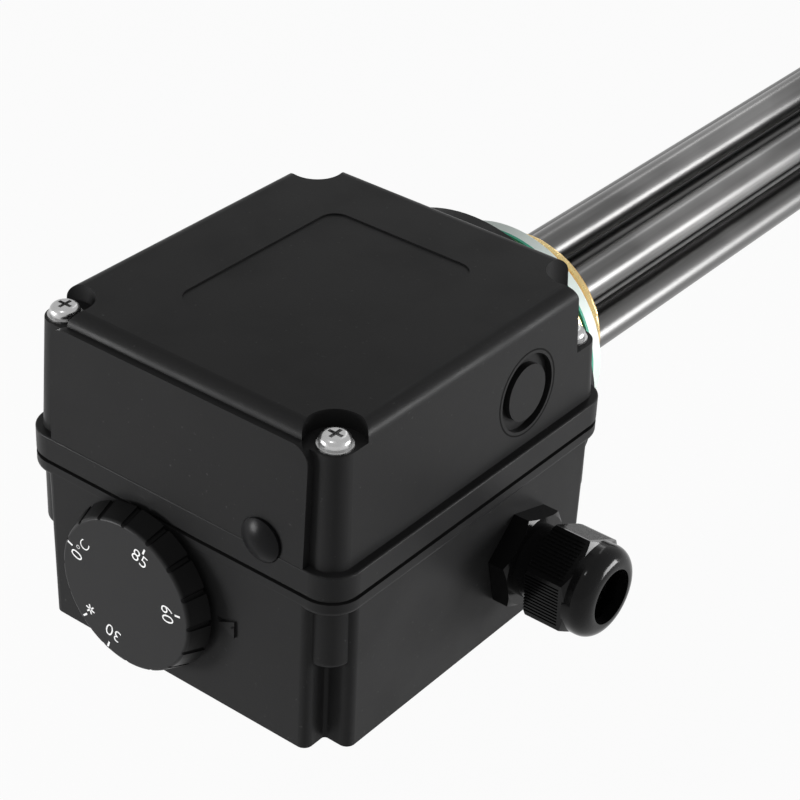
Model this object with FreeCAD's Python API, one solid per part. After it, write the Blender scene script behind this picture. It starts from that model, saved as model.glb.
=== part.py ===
import FreeCAD, Part
import math
import os

# Screw plug immersion heater with a thermostat box, in millimetres.
# The origin is on the plug's axis at the face that meets the tank, +Y runs along the heating tubes
# into the tank, -Y is the front with the control knob, and +Z is the side of the lid.

# Box, seen from above, and its two halves
BOX_WIDTH = 96.0            # over the flanges, along X
BOX_DEPTH = 105.0           # over the flanges, along Y
TANK_SPACE = 22.9           # from the tank's face to the back edge of the flanges
SEAM_HEIGHT = 5.3           # middle of the seal above the plug's axis
SEAL_THICK = 1.2            # thickness of the seal between the flanges
LID_HEIGHT = 39.8           # underside of the lid's flange to its top
BASE_HEIGHT = 43.3          # underside of the base to its flange's face
WALL = 2.5                  # thickness of both mouldings' walls
SEAL_EDGE = 1.0             # how far the seal stays inside the flanges' edges
SCREW_INSET = 8.1           # lid screws' axes from the flanges' edges, also the flanges' corner radius

# Lid
LID_FLANGE = 6.2            # height of the lid's flange
LID_FLANGE_ROUND = 0.5      # round of its upper edge
LID_STEP = 2.0              # how far the lid's walls stand behind its flange
LID_DRAFT = 2.07            # draft of the lid's walls, in degrees
LID_CORNER = 5.0            # radius of the lid's own upright corners at its flange
TOP_ROUND = 3.75            # round between the lid's walls and its top
PANEL_HALF = 38.2           # half the width of the raised front panel
PANEL_HEIGHT = 36.5         # top of the raised front panel above the lid's underside
PANEL_CORNER = 4.5          # radius of the panel's two top corners
SCALLOP_RADIUS = 7.1        # hollow round each lid screw
SCALLOP_WALL = 1.8          # wall between that hollow and the inside
FRONT_LEDGE = 35.3          # seats of the two front screws above the lid's underside
BACK_LEDGE = 21.6           # seats of the two back screws above the lid's underside
LEDGE_THICK = 4.0           # solid plastic under each screw's seat
TUNNEL_RADIUS = 4.3         # hollow round the screws under the seats
RECESS_WIDTH = 44.0         # bare sunk field on the lid's top, along X
RECESS_DEPTH = 57.0         # the same, along Y
RECESS_SINK = 0.4           # how deep the field is sunk
RECESS_CORNER = 4.6
RECESS_SHIFT = 1.0          # centre of the field behind the box's centre
KNOCKOUT_INNER = 7.15       # ring groove of the knock-out in the lid's right wall
KNOCKOUT_OUTER = 9.8
KNOCKOUT_DEPTH = 1.7
KNOCKOUT_Y = -55.9          # centre of the knock-out
KNOCKOUT_HEIGHT = 26.0      # and its height above the plug's axis

# Base
BASE_FLANGE = 3.6           # height of the base's flange
BASE_FLANGE_ROUND = 1.6     # round of its lower edge
BASE_STEP = 0.6             # how far the base's side walls stand behind its flange
BASE_DRAFT = 0.56           # draft of the base's walls, in degrees
NOTCH_SIDE = 7.6            # upright corner notches, from the flange's side edge
NOTCH_END = 6.7             # and from its front or back edge
NOTCH_ROUND = 2.3           # round of the upright edges beside the notches
NOTCH_ROOT = 1.0            # round in the notches' inner corners
BOSS_RADIUS = 6.2           # screw bosses in the notches, also the radius of their outer corners
BOSS_HEIGHT = 19.4
BOSS_RIM = 1.4              # round at the bosses' lower ends
BOSS_FLOOR = 2.0            # solid lower end of the bosses under the screws
FLOOR_BOSS_RADIUS = 4.0     # bosses on the floor that take the inner screws
FLOOR_BOSS_HEIGHT = 4.0
PLATE_RADIUS = 40.5         # round back plate
PLATE_THICK = 5.2
PLATE_GAP = 0.3             # between the plate and the lid's flange
SOCKET_OUTER = 30.5         # round socket that passes the lid's back wall
SOCKET_WALL = 2.5
SOCKET_DEPTH = 6.9          # inward from the plate
ARCH_GAP = 0.3              # between the socket and the lid's arch

# Screw plug, gasket and what goes through the plug
PLUG_HEX = 50.0             # spanner size of the plug
COLLAR_RADIUS = 30.0        # round collar behind the gasket
COLLAR_THICK = 4.1
THREAD_RADIUS = 23.9        # G 1 1/2 pipe thread
THREAD_REACH = 9.5          # thread beyond the tank's face
THREAD_CHAMFER = 1.5
RELIEF_RADIUS = 22.9        # run-out groove of the thread, under the gasket
PLUG_WEB = 13.5             # solid end of the plug that holds the tubes
GASKET_RADIUS = 30.5
GASKET_THICK = 3.3
BACKING_THICK = 0.8         # thin ring between the gasket and the collar
GASKET_GAP = 1.1            # between the thread and the rings round it
OPENING_RADIUS = 20.3       # hollow of the plug and opening of the back plate
FIXING_PITCH = 23.6         # pitch radius of the plug's fixing screws and earth stud
FIXING_DEPTH = 7.0          # their thread in the plug
FIXING_ANGLES = (90, 210, 330)
EARTH_ANGLE = 270           # direction of the earth stud
EARTH_STUD_OUT = 14.0       # stud in front of the back plate
LEG_PITCH = 14.6            # pitch radius of the heating tubes' six legs
LEG_RADIUS = 5.0            # heating tubes are 10 mm thick
LEG_ANGLE = 41.0            # first leg, from +X towards +Z
LEG_STEP = 60.0
TUBE_REACH = 300.0          # heating tubes beyond the tank's face
TUBE_INSET = 12.0           # their open ends in front of the tank's face
WELL_OFFSET = 4.2           # sensor wells beside the plug's axis
WELL_ANGLE = -43.3          # direction of the limiter's or thermostat's well from the axis
WELL_RADIUS = 4.0
WELL_WALL = 0.7
WELL_REACH = 225.0
WELL_END = 2.0              # closed end of the wells
WELL_TIP_ROUND = 2.8
BULB_SET_BACK = 4.0         # bulbs' tips from the wells' tips
BULB_RADIUS = 3.0
BULB_LENGTH = 90.0
CAPILLARY_RADIUS = 0.9
CAPILLARY_BEND = 6.0
CAPILLARY_LEAD = 14.0       # straight run behind each switch
CAPILLARY_TURN = 26.0       # first bend, in front of the back plate
PIN_RADIUS = 2.0            # connecting pins of the heating tubes, M4
PIN_LENGTH = 24.0           # in front of their insulators
INSULATOR_RADIUS = 3.6
INSULATOR_LENGTH = 5.0
LINK_PLACE = 18.0           # star link, from the insulators
LINK_THICK = 1.0
LINK_RING = 2.4             # width of the link's ring round the wells

# Fasteners, M4 unless said
M4_RADIUS = 2.0
M4_HOLE = 2.05              # modelled thread hole, free of its screw
M4_CLEARANCE = 2.25
M4_NUT = 7.0
M4_NUT_THICK = 3.2
HEAD_RADIUS = 3.6           # pan heads
HEAD_HEIGHT = 2.4
HEAD_ROUND = 1.6
WASHER_RADIUS = 4.15
WASHER_THICK = 0.6
INSERT_RADIUS = 3.0         # brass inserts in the base's bosses
INSERT_LENGTH = 8.0
INSERT_SINK = 0.3
SCREW_GRIP = 7.0            # lid screws' thread in the inserts
CROSS_WIDTH = 0.9           # cross recess of the heads
CROSS_LENGTH = 3.8
CROSS_DEPTH = 1.3

# Control knob, thermostat and its pointer
KNOB_X = -8.4
KNOB_Z = -14.3
KNOB_GAP = 1.8              # between the knob and the front wall
KNOB_HEIGHT = 5.7
KNOB_REAR_RADIUS = 21.6
KNOB_FACE_RADIUS = 19.6
KNOB_LOBES = 16
KNOB_GROOVE = 0.8           # radius of the grooves between the lobes
KNOB_GROOVE_OUT = 0.24      # their centres outside the lobes' circle
KNOB_EDGE = 0.8             # round of the knob's face
KNOB_SHELL = 2.2
KNOB_HUB_RADIUS = 5.5
SPINDLE_RADIUS = 3.0
SPINDLE_FLAT = 2.2          # flat of the spindle, from its axis
SPINDLE_GAP = 0.05
SPINDLE_HOLE = 3.4          # hole for it in the front wall
SPINDLE_ROOT = 7.0          # spindle inside the thermostat's body
SPINDLE_BORE = 8.0          # its bore there
COUNTERSINK_GAP = 0.1       # round the thermostat's two screws
COUNTERSINK_GRIP = 4.0      # those screws' thread in the thermostat
SPINDLE_REACH = 7.0         # spindle in front of the front wall
THERMOSTAT_WIDTH = 38.0
THERMOSTAT_HEIGHT = 34.0
THERMOSTAT_DEPTH = 20.0
THERMOSTAT_PITCH = 28.0     # between its two fixing screws
THERMOSTAT_CORNER = 3.0
THERMOSTAT_PARTING = 9.0    # joint between its front and its body, from the wall
PARTING_WIDTH = 1.0
PARTING_DEPTH = 2.0
POINTER_TIP = 14.2
POINTER_BACK = 19.1
POINTER_HALF = 2.3
POINTER_RAISE = 0.6

# Safety limiter and its reset
RESET_INSET = 21.6          # reset axis from the box's right edge
RESET_Z = 14.4
CAP_SEAT_GAP = 0.3          # flat seat round the cap
CAP_RADIUS = 5.4
CAP_HEIGHT = 2.6
CAP_RIM = 0.8               # upright edge under the dome
CAP_CROWN = 0.6             # radius of the small flat on top of the dome
CAP_STEM_RADIUS = 4.1
CAP_STEM_BORE = 2.8
CAP_STEM_BEYOND = 1.0       # stem inside the wall
CAP_GAP = 0.1
LIMITER_WIDTH = 25.0
LIMITER_HEIGHT = 30.0
LIMITER_DEPTH = 18.0
LIMITER_PLACE = 21.9        # its front face behind the front edge of the flanges
LIMITER_CORNER = 2.5
NECK_RADIUS = 4.0           # M8 neck
NECK_LENGTH = 11.0
NECK_NUT = 12.0
NECK_NUT_THICK = 2.5
BUTTON_RADIUS = 2.2
BUTTON_GAP = 0.1
BUTTON_OUT = 2.2            # button in front of the neck
BUTTON_TRAVEL = 2.0
BUTTON_ROUND = 0.8
BUTTON_ROOM = 1.0           # bore behind the pressed button
SHEET = 1.5                 # bracket's sheet steel
BRACKET_WIDTH = 22.0
BRACKET_FOOT = 16.0
BRACKET_HOLE_PLACE = 9.6    # its two screws behind its upright
BRACKET_TOP = 2.0           # top of its upright under the limiter's top
TAB_WIDTH = 6.3             # flat push-on terminals
TAB_THICK = 0.8
TAB_LENGTH = 9.0
TAB_PITCH = 8.8
THERMOSTAT_TAB_RISE = 10.0  # tabs above the knob's axis
LIMITER_TAB_RISE = 9.0      # tabs above the reset axis
THERMOSTAT_TUBE_SIDE = 8.0  # capillary beside the knob's axis
LIMITER_TUBE_SIDE = -6.0    # capillary beside the reset axis
LIMITER_TUBE_DROP = 4.0     # and under it

# Cable gland, Pg 11
GLAND_Y = -57.3
GLAND_Z = -17.9
GLAND_HEX_CORNER = 13.06    # corner radius of the body's hexagon
GLAND_HEX_THICK = 5.1
GLAND_HEX_TURN = 43.3
GLAND_HEX_BEVEL = (1.4, 0.8)  # bevel of the hexagon's corners, across and along
GLAND_SEAT = 3.0            # claw's seat inside the dome nut
GLAND_NECK_RADIUS = 9.3
GLAND_BORE = 6.4
GLAND_NUT_START = 9.9       # dome nut's near face from the wall
GLAND_NUT_HEX_LENGTH = 11.2
GLAND_NUT_CORNER = 13.2
GLAND_NUT_TURN = 32.7
GLAND_NUT_BEVEL = 0.6       # near bevel of the dome nut's corners
GLAND_NUT_SHOULDER = (1.5, 0.9)  # their bevel towards the dome, across and along
GLAND_NUT_BORE = 9.0        # depth of its thread
GLAND_LIP = 2.5             # straight length of the mouth
GLAND_NUT_LENGTH = 17.2     # near face to the dome's rim
GLAND_DOME_RADIUS = 11.7
GLAND_MOUTH = 7.1           # opening of the dome
GLAND_RIM = 0.4             # flat rim round the opening
GLAND_INSIDE = 8.0          # body's thread inside the wall
GLAND_THREAD_GAP = 0.05
GLAND_HOLE_GAP = 0.1
LOCKNUT_HEX = 24.0
LOCKNUT_THICK = 5.0
CLAW_THICK = 1.2
CLAW_GAP = 0.5              # between the claw and the nut's bore
CLAW_TIP_GAP = 0.3          # between the claw and the mouth
CLAW_RING = 4.5             # straight part of the claw
CLAW_LENGTH = 9.0
CLAW_SLOTS = 8
CLAW_SLOT = 0.8             # width of each slot
CLAW_SLOT_START = 2.5
SEAL_STRAIGHT = 4.4
SEAL_LENGTH = 8.2
SEAL_CROWN = 0.4            # how far the seal's bore stands out
SEAL_BORE = 4.6
RIB_COUNT = 12              # grip ribs on each flat of the dome nut
RIB_DEPTH = 0.35
RIB_BAND = 0.86             # share of each flat that carries ribs
RIB_END = 1.6               # ribs end before the dome's shoulder

# Terminal block
BLOCK_X = -6.0
BLOCK_Y = -74.0
BLOCK_POLES = 4
BLOCK_PITCH = 10.0
BLOCK_DEPTH = 20.0
BLOCK_HEIGHT = 15.0
BLOCK_END = 8.0             # lug at each end with its fixing hole
BLOCK_LUG = 4.0
CLAMP_SIZE = 6.0
CLAMP_GAP = 0.1
CLAMP_LENGTH = 17.0
CLAMP_BORE = 1.9
CLAMP_SCREW = 1.5
CLAMP_SHAFT = 2.1           # shafts over the clamp screws
CLAMP_SCREW_FLOOR = 0.4     # tips of the screws above the clamps' middle
CLAMP_SCREW_TOP = 0.5
SLOT_WIDTH = 0.6
SLOT_DEPTH = 0.8
POLE_CUT = 1.2              # slits between the poles
POLE_CUT_DEPTH = 3.0

V = FreeCAD.Vector
X_AXIS = V(1, 0, 0)
Y_AXIS = V(0, 1, 0)
Z_AXIS = V(0, 0, 1)
TINY = 0.5                  # how far a cutting tool passes a face
CORNER_UP = 30              # turn of a hexagon along Y that puts a corner on top

# Places that follow from the sizes above
HALF_W = BOX_WIDTH / 2
HALF_D = BOX_DEPTH / 2
CENTRE_Y = -TANK_SPACE - HALF_D
FRONT_Y = CENTRE_Y - HALF_D
LID_Z = SEAM_HEIGHT + SEAL_THICK / 2
LID_TOP = LID_Z + LID_HEIGHT
CAP_FACE = FRONT_Y + (RESET_Z + CAP_RADIUS + CAP_SEAT_GAP - LID_Z) * math.tan(math.radians(LID_DRAFT))
BASE_TOP = SEAM_HEIGHT - SEAL_THICK / 2
BASE_Z = BASE_TOP - BASE_HEIGHT
FLOOR_Z = BASE_Z + WALL
FLOOR_BOSS_Z = FLOOR_Z + FLOOR_BOSS_HEIGHT
SCREW_X = HALF_W - SCREW_INSET
SCREW_Y = HALF_D - SCREW_INSET
PLATE_FACE = -TANK_SPACE + PLATE_GAP
PLATE_BACK = PLATE_FACE + PLATE_THICK
INNER_FRONT = FRONT_Y + WALL
RESET_X = HALF_W - RESET_INSET
COLLAR_BACK = -GASKET_THICK - BACKING_THICK
COLLAR_FRONT = COLLAR_BACK - COLLAR_THICK
PLUG_END = THREAD_REACH
WEB_FRONT = PLUG_END - PLUG_WEB
INSULATOR_END = -TUBE_INSET - INSULATOR_LENGTH
LIMITER_FRONT = FRONT_Y + LIMITER_PLACE
LIMITER_BACK = LIMITER_FRONT + LIMITER_DEPTH
THERMOSTAT_BACK = INNER_FRONT + THERMOSTAT_DEPTH
BULB_TIP = WELL_REACH - BULB_SET_BACK
CLAW_SEAT = GLAND_NUT_START + GLAND_SEAT
CLAW_OUTER = GLAND_NECK_RADIUS - CLAW_GAP
CLAW_TIP = GLAND_MOUTH - CLAW_TIP_GAP
CORNERS = [(sx, sy) for sx in (-1, 1) for sy in (-1, 1)]


def save(name, *shapes):
    shape = shapes[0] if len(shapes) == 1 else Part.makeCompound(list(shapes))
    shape.exportStep("parts/" + name + ".step")


def block(x0, x1, y0, y1, z0, z1):
    return Part.makeBox(x1 - x0, y1 - y0, z1 - z0, V(x0, y0, z0))


def rod_y(radius, y0, y1, x=0.0, z=0.0):
    return Part.makeCylinder(radius, y1 - y0, V(x, y0, z), Y_AXIS)


def rod_z(radius, z0, z1, x, y):
    return Part.makeCylinder(radius, z1 - z0, V(x, y, z0), Z_AXIS)


def rod_x(radius, x0, x1, y, z):
    return Part.makeCylinder(radius, x1 - x0, V(x0, y, z), X_AXIS)


def hex_prism(corner_radius, length, place, axis, turn=0.0):
    """Hexagonal bar from place along axis, its first corner turned from the bar's own X."""
    points = [V(corner_radius * math.cos(math.radians(turn + 60 * k)),
                corner_radius * math.sin(math.radians(turn + 60 * k)), 0) for k in range(7)]
    bar = Part.Face(Part.makePolygon(points)).extrude(V(0, 0, length))
    turned_axis = FreeCAD.Rotation(Z_AXIS, axis)
    bar.Placement = FreeCAD.Placement(place, turned_axis)
    return bar


def hex_corner(across_flats):
    return across_flats / math.sqrt(3)


def turned(points, place, axis):
    """Solid of revolution from (radius, distance along axis) points."""
    wire = Part.makePolygon([V(r, 0, d) for r, d in points + points[:1]])
    solid = Part.Face(wire).revolve(V(0, 0, 0), Z_AXIS, 360)
    solid.Placement = FreeCAD.Placement(place, FreeCAD.Rotation(Z_AXIS, axis))
    return solid


def rounded_wire(corners, z):
    """Closed outline at height z from (x, y, radius) corners about the box's centre."""
    count = len(corners)
    edges = []
    last_end = None
    first_start = None
    for k in range(count):
        x, y, radius = corners[k]
        here = V(x, CENTRE_Y + y, z)
        before = V(corners[k - 1][0], CENTRE_Y + corners[k - 1][1], z)
        after = V(corners[(k + 1) % count][0], CENTRE_Y + corners[(k + 1) % count][1], z)
        to_before = (before - here).normalize()
        to_after = (after - here).normalize()
        half = math.acos(max(-1.0, min(1.0, to_before.dot(to_after)))) / 2
        cut = radius / math.tan(half)
        start = here + to_before * cut
        end = here + to_after * cut
        middle = here + (to_before + to_after).normalize() * (radius / math.sin(half) - radius)
        if last_end is not None:
            edges.append(Part.LineSegment(last_end, start).toShape())
        else:
            first_start = start
        edges.append(Part.Arc(start, middle, end).toShape())
        last_end = end
    edges.append(Part.LineSegment(last_end, first_start).toShape())
    return Part.Wire(edges)


def oblong(half_x, half_y, radius):
    return [(-half_x, -half_y, radius), (half_x, -half_y, radius),
            (half_x, half_y, radius), (-half_x, half_y, radius)]


def prism(corners, z0, z1):
    return Part.Face(rounded_wire(corners, z0)).extrude(V(0, 0, z1 - z0))


def drafted(low, high, z0, z1):
    return Part.makeLoft([rounded_wire(low, z0), rounded_wire(high, z1)], True, True)


def upper_edges(shape, z, tolerance=0.01):
    return [e for e in shape.Edges if all(abs(v.Z - z) < tolerance for v in e.Vertexes)]


def edges_along_y(shape):
    return [e for e in shape.Edges if abs(e.Vertexes[0].Y - e.Vertexes[-1].Y) > TINY]


def ring_edges_at_y(shape, y, tolerance=0.01):
    return [e for e in shape.Edges if all(abs(v.Y - y) < tolerance for v in e.Vertexes)]


def screw_places(ledge_front, ledge_back):
    """Axis and seat height of each lid screw: x, y and z."""
    return [(sx * SCREW_X, CENTRE_Y + sy * SCREW_Y, ledge_back if sy > 0 else ledge_front)
            for sx, sy in CORNERS]


def cut_all(shape, tools):
    for tool in tools:
        shape = shape.cut(tool)
    return shape


def fuse_all(shape, others):
    for other in others:
        shape = shape.fuse(other)
    return shape.removeSplitter()


# Lid

def lid_taper(height):
    return height * math.tan(math.radians(LID_DRAFT))


def lid_body(back_off, top, corner):
    """Drafted block of the lid, its walls back_off behind the flange's outline."""
    inset = lid_taper(top - LID_Z)
    low = oblong(HALF_W - back_off, HALF_D - back_off, corner)
    high = oblong(HALF_W - back_off - inset, HALF_D - back_off - inset, corner)
    return drafted(low, high, LID_Z, top)


def front_panel(off):
    """Raised front panel as a bar through the front wall, off smaller all round."""
    half = PANEL_HALF - off
    top = LID_Z + PANEL_HEIGHT - off
    corner = PANEL_CORNER - off / 2
    y = FRONT_Y - TINY
    low_left = V(-half, y, LID_Z)
    up_left = V(-half, y, top - corner)
    top_left = V(-half + corner, y, top)
    top_right = V(half - corner, y, top)
    up_right = V(half, y, top - corner)
    low_right = V(half, y, LID_Z)
    bend = corner * (1 - math.sqrt(0.5))
    edges = [Part.LineSegment(low_left, up_left).toShape(),
             Part.Arc(up_left, V(-half + bend, y, top - bend), top_left).toShape(),
             Part.LineSegment(top_left, top_right).toShape(),
             Part.Arc(top_right, V(half - bend, y, top - bend), up_right).toShape(),
             Part.LineSegment(up_right, low_right).toShape(),
             Part.LineSegment(low_right, low_left).toShape()]
    depth = LID_STEP + 2 * WALL + 2 * TINY
    return Part.Face(Part.Wire(edges)).extrude(V(0, depth, 0))


def lid_pillars(radius, z0, z1):
    return [rod_z(radius, z0, z1, x, y) for x, y, z in screw_places(0, 0)]


def make_lid():
    body = lid_body(LID_STEP, LID_TOP, LID_CORNER)
    body = body.makeFillet(TOP_ROUND, upper_edges(body, LID_TOP))
    panel = front_panel(0).common(lid_body(0, LID_TOP, LID_CORNER))
    flange = prism(oblong(HALF_W, HALF_D, SCREW_INSET), LID_Z, LID_Z + LID_FLANGE)
    flange = flange.makeFillet(LID_FLANGE_ROUND, upper_edges(flange, LID_Z + LID_FLANGE))
    columns = [rod_z(SCREW_INSET - LID_STEP, LID_Z, LID_Z + LID_FLANGE, x, y)
               for x, y, z in screw_places(0, 0)]
    shell = fuse_all(body, [panel, flange] + columns)

    inside = lid_body(LID_STEP + WALL, LID_TOP - WALL, LID_CORNER - WALL / 2)
    behind_panel = front_panel(WALL).common(lid_body(WALL, LID_TOP - WALL, LID_CORNER))
    inside = inside.fuse(behind_panel)
    inside = cut_all(inside, lid_pillars(SCALLOP_RADIUS + SCALLOP_WALL, LID_Z - TINY, LID_TOP))
    shell = shell.cut(inside)

    for x, y, z in screw_places(LID_Z + FRONT_LEDGE, LID_Z + BACK_LEDGE):
        shell = shell.cut(rod_z(SCALLOP_RADIUS, z, LID_TOP + TINY, x, y))
        shell = shell.cut(rod_z(M4_CLEARANCE, LID_Z - TINY, z + TINY, x, y))
        shell = shell.cut(rod_z(TUNNEL_RADIUS, LID_Z - TINY, z - LEDGE_THICK, x, y))

    field = oblong(RECESS_WIDTH / 2, RECESS_DEPTH / 2, RECESS_CORNER)
    sunk = prism(field, LID_TOP - RECESS_SINK, LID_TOP + TINY)
    sunk.translate(V(0, RECESS_SHIFT, 0))
    shell = shell.cut(sunk)

    wall_x = HALF_W - LID_STEP - lid_taper(KNOCKOUT_HEIGHT - LID_Z)
    ring = rod_x(KNOCKOUT_OUTER, wall_x - 2 * KNOCKOUT_DEPTH, HALF_W, KNOCKOUT_Y, KNOCKOUT_HEIGHT)
    core = rod_x(KNOCKOUT_INNER, wall_x - 3 * KNOCKOUT_DEPTH, HALF_W + TINY, KNOCKOUT_Y, KNOCKOUT_HEIGHT)
    floor = lid_body(LID_STEP + KNOCKOUT_DEPTH, LID_TOP, LID_CORNER)  # leans as the wall does
    shell = shell.cut(ring.cut(core).cut(floor))

    shell = shell.cut(rod_y(CAP_RADIUS + CAP_SEAT_GAP, FRONT_Y - TINY, CAP_FACE, RESET_X, RESET_Z))
    shell = shell.cut(rod_y(CAP_STEM_RADIUS + CAP_GAP, FRONT_Y - TINY, FRONT_Y + 4 * WALL, RESET_X, RESET_Z))
    arch = rod_y(SOCKET_OUTER + ARCH_GAP, -TANK_SPACE - SOCKET_DEPTH - 2 * WALL, -TANK_SPACE + TINY)
    shell = shell.cut(arch)
    return shell


def make_seal():
    outline = oblong(HALF_W - SEAL_EDGE, HALF_D - SEAL_EDGE, SCREW_INSET - SEAL_EDGE)
    outside = prism(outline, BASE_TOP, LID_Z)
    inset = LID_STEP + WALL
    inside = prism(oblong(HALF_W - inset, HALF_D - inset, LID_CORNER), BASE_TOP - TINY, LID_Z + TINY)
    inside = cut_all(inside, lid_pillars(BOSS_RADIUS, BASE_TOP - 2 * TINY, LID_Z + 2 * TINY))
    seal = outside.cut(inside)
    seal = cut_all(seal, lid_pillars(M4_CLEARANCE, BASE_TOP - TINY, LID_Z + TINY))
    return seal.cut(rod_y(SOCKET_OUTER + ARCH_GAP, -TANK_SPACE - 4 * WALL, -TANK_SPACE + TINY))


def cross_recess(z, x, y):
    long_way = block(-CROSS_LENGTH / 2, CROSS_LENGTH / 2, -CROSS_WIDTH / 2, CROSS_WIDTH / 2, 0, CROSS_DEPTH)
    other_way = block(-CROSS_WIDTH / 2, CROSS_WIDTH / 2, -CROSS_LENGTH / 2, CROSS_LENGTH / 2, 0, CROSS_DEPTH)
    cross = long_way.fuse(other_way)
    cross.translate(V(x, y, z))
    return cross


def pan_screw(length):
    """Pan head screw standing on z = 0 with its head up and its shank down."""
    head = Part.makeCylinder(HEAD_RADIUS, HEAD_HEIGHT, V(0, 0, 0), Z_AXIS)
    head = head.makeFillet(HEAD_ROUND, upper_edges(head, HEAD_HEIGHT))
    head = head.cut(cross_recess(HEAD_HEIGHT - CROSS_DEPTH, 0, 0))
    shank = Part.makeCylinder(M4_RADIUS, length, V(0, 0, -length), Z_AXIS)
    return head.fuse(shank)


def put(shape, place, axis=Z_AXIS):
    moved = shape.copy()
    moved.Placement = FreeCAD.Placement(place, FreeCAD.Rotation(Z_AXIS, axis)).multiply(shape.Placement)
    return moved


def make_lid_screws():
    screws = []
    for x, y, z in screw_places(FRONT_LEDGE, BACK_LEDGE):
        length = WASHER_THICK + z + SEAL_THICK + INSERT_SINK + SCREW_GRIP
        screws.append(put(pan_screw(length), V(x, y, LID_Z + z + WASHER_THICK)))
    return screws


def make_lid_washers():
    washer = Part.makeCylinder(WASHER_RADIUS, WASHER_THICK).cut(Part.makeCylinder(M4_CLEARANCE, WASHER_THICK))
    return [put(washer, V(x, y, LID_Z + z)) for x, y, z in screw_places(FRONT_LEDGE, BACK_LEDGE)]


def make_inserts():
    insert = Part.makeCylinder(INSERT_RADIUS, INSERT_LENGTH).cut(Part.makeCylinder(M4_HOLE, INSERT_LENGTH))
    z = BASE_TOP - INSERT_SINK - INSERT_LENGTH
    return [put(insert, V(x, y, z)) for x, y, unused in screw_places(0, 0)]


def make_reset_cap():
    """Domed cap and its hollow stem, turned as one about the reset axis; distances run outward."""
    stem = -WALL - CAP_STEM_BEYOND
    rise = CAP_HEIGHT - CAP_RIM
    radius = (CAP_RADIUS ** 2 + rise ** 2) / (2 * rise)
    half_r = CAP_RADIUS / 2
    half_d = CAP_HEIGHT - radius + math.sqrt(radius ** 2 - half_r ** 2)
    points = [V(CAP_RADIUS, 0, CAP_RIM), V(CAP_RADIUS, 0, 0), V(CAP_STEM_RADIUS, 0, 0),
              V(CAP_STEM_RADIUS, 0, stem), V(CAP_STEM_BORE, 0, stem), V(CAP_STEM_BORE, 0, -CAP_RIM),
              V(0, 0, -CAP_RIM), V(0, 0, CAP_HEIGHT), V(CAP_CROWN, 0, CAP_HEIGHT)]
    lines = [Part.LineSegment(points[k], points[k + 1]).toShape() for k in range(len(points) - 1)]
    dome = Part.Arc(points[-1], V(half_r, 0, half_d), points[0]).toShape()
    cap = Part.Face(Part.Wire(lines + [dome])).revolve(V(0, 0, 0), Z_AXIS, 360)
    cap.Placement = FreeCAD.Placement(V(RESET_X, CAP_FACE, RESET_Z), FreeCAD.Rotation(Z_AXIS, -Y_AXIS))
    return cap


# Base

def cross_outline(half_x, half_y, notch_x, notch_y, outer, inner):
    """Box outline with its four corners notched back to notch_x, notch_y."""
    quarter = [(half_x, notch_y, outer), (notch_x, notch_y, inner), (notch_x, half_y, outer)]
    turned_once = [(-x, y, r) for x, y, r in reversed(quarter)]
    return quarter + turned_once + [(-x, -y, r) for x, y, r in quarter] + \
        [(-x, -y, r) for x, y, r in turned_once]


def base_outline(off, inset, outer, inner):
    side = HALF_W - BASE_STEP - off - inset
    end = HALF_D - off - inset
    notch_x = HALF_W - NOTCH_SIDE - off - inset
    notch_y = HALF_D - NOTCH_END - off - inset
    return cross_outline(side, end, notch_x, notch_y, outer, inner)


def base_taper(height):
    return height * math.tan(math.radians(BASE_DRAFT))


def base_bosses():
    """Screw bosses that fill the tops of the corner notches, rounded at their outer corners."""
    low = BASE_TOP - BOSS_HEIGHT
    ring = prism(oblong(SCREW_X + BOSS_RADIUS, SCREW_Y + BOSS_RADIUS, BOSS_RADIUS), low, BASE_TOP)
    ring = ring.makeFillet(BOSS_RIM, upper_edges(ring, low))
    bosses = []
    for x, y, z in screw_places(0, 0):
        corner = block(x - BOSS_RADIUS, x + BOSS_RADIUS, y - BOSS_RADIUS, y + BOSS_RADIUS, low, BASE_TOP)
        bosses.append(ring.common(corner))
    return bosses


def floor_boss_places():
    half = BRACKET_WIDTH / 4
    foot_y = LIMITER_FRONT + BRACKET_HOLE_PLACE
    lug = BLOCK_POLES * BLOCK_PITCH / 2 + BLOCK_END / 2
    return [(RESET_X - half, foot_y), (RESET_X + half, foot_y),
            (BLOCK_X - lug, BLOCK_Y), (BLOCK_X + lug, BLOCK_Y)]


def leg_place(k):
    angle = math.radians(LEG_ANGLE + LEG_STEP * k)
    return LEG_PITCH * math.cos(angle), LEG_PITCH * math.sin(angle)


def fixing_place(angle):
    return FIXING_PITCH * math.cos(math.radians(angle)), FIXING_PITCH * math.sin(math.radians(angle))


def pointer():
    """Small raised wedge on the front wall beside the knob."""
    y = FRONT_Y + base_taper(BASE_TOP - KNOB_Z) + WALL / 2
    points = [V(POINTER_TIP, y, KNOB_Z), V(POINTER_BACK, y, KNOB_Z - POINTER_HALF),
              V(POINTER_BACK, y, KNOB_Z + POINTER_HALF)]
    return Part.Face(Part.makePolygon(points + points[:1])).extrude(V(0, -WALL / 2 - POINTER_RAISE, 0))


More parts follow.
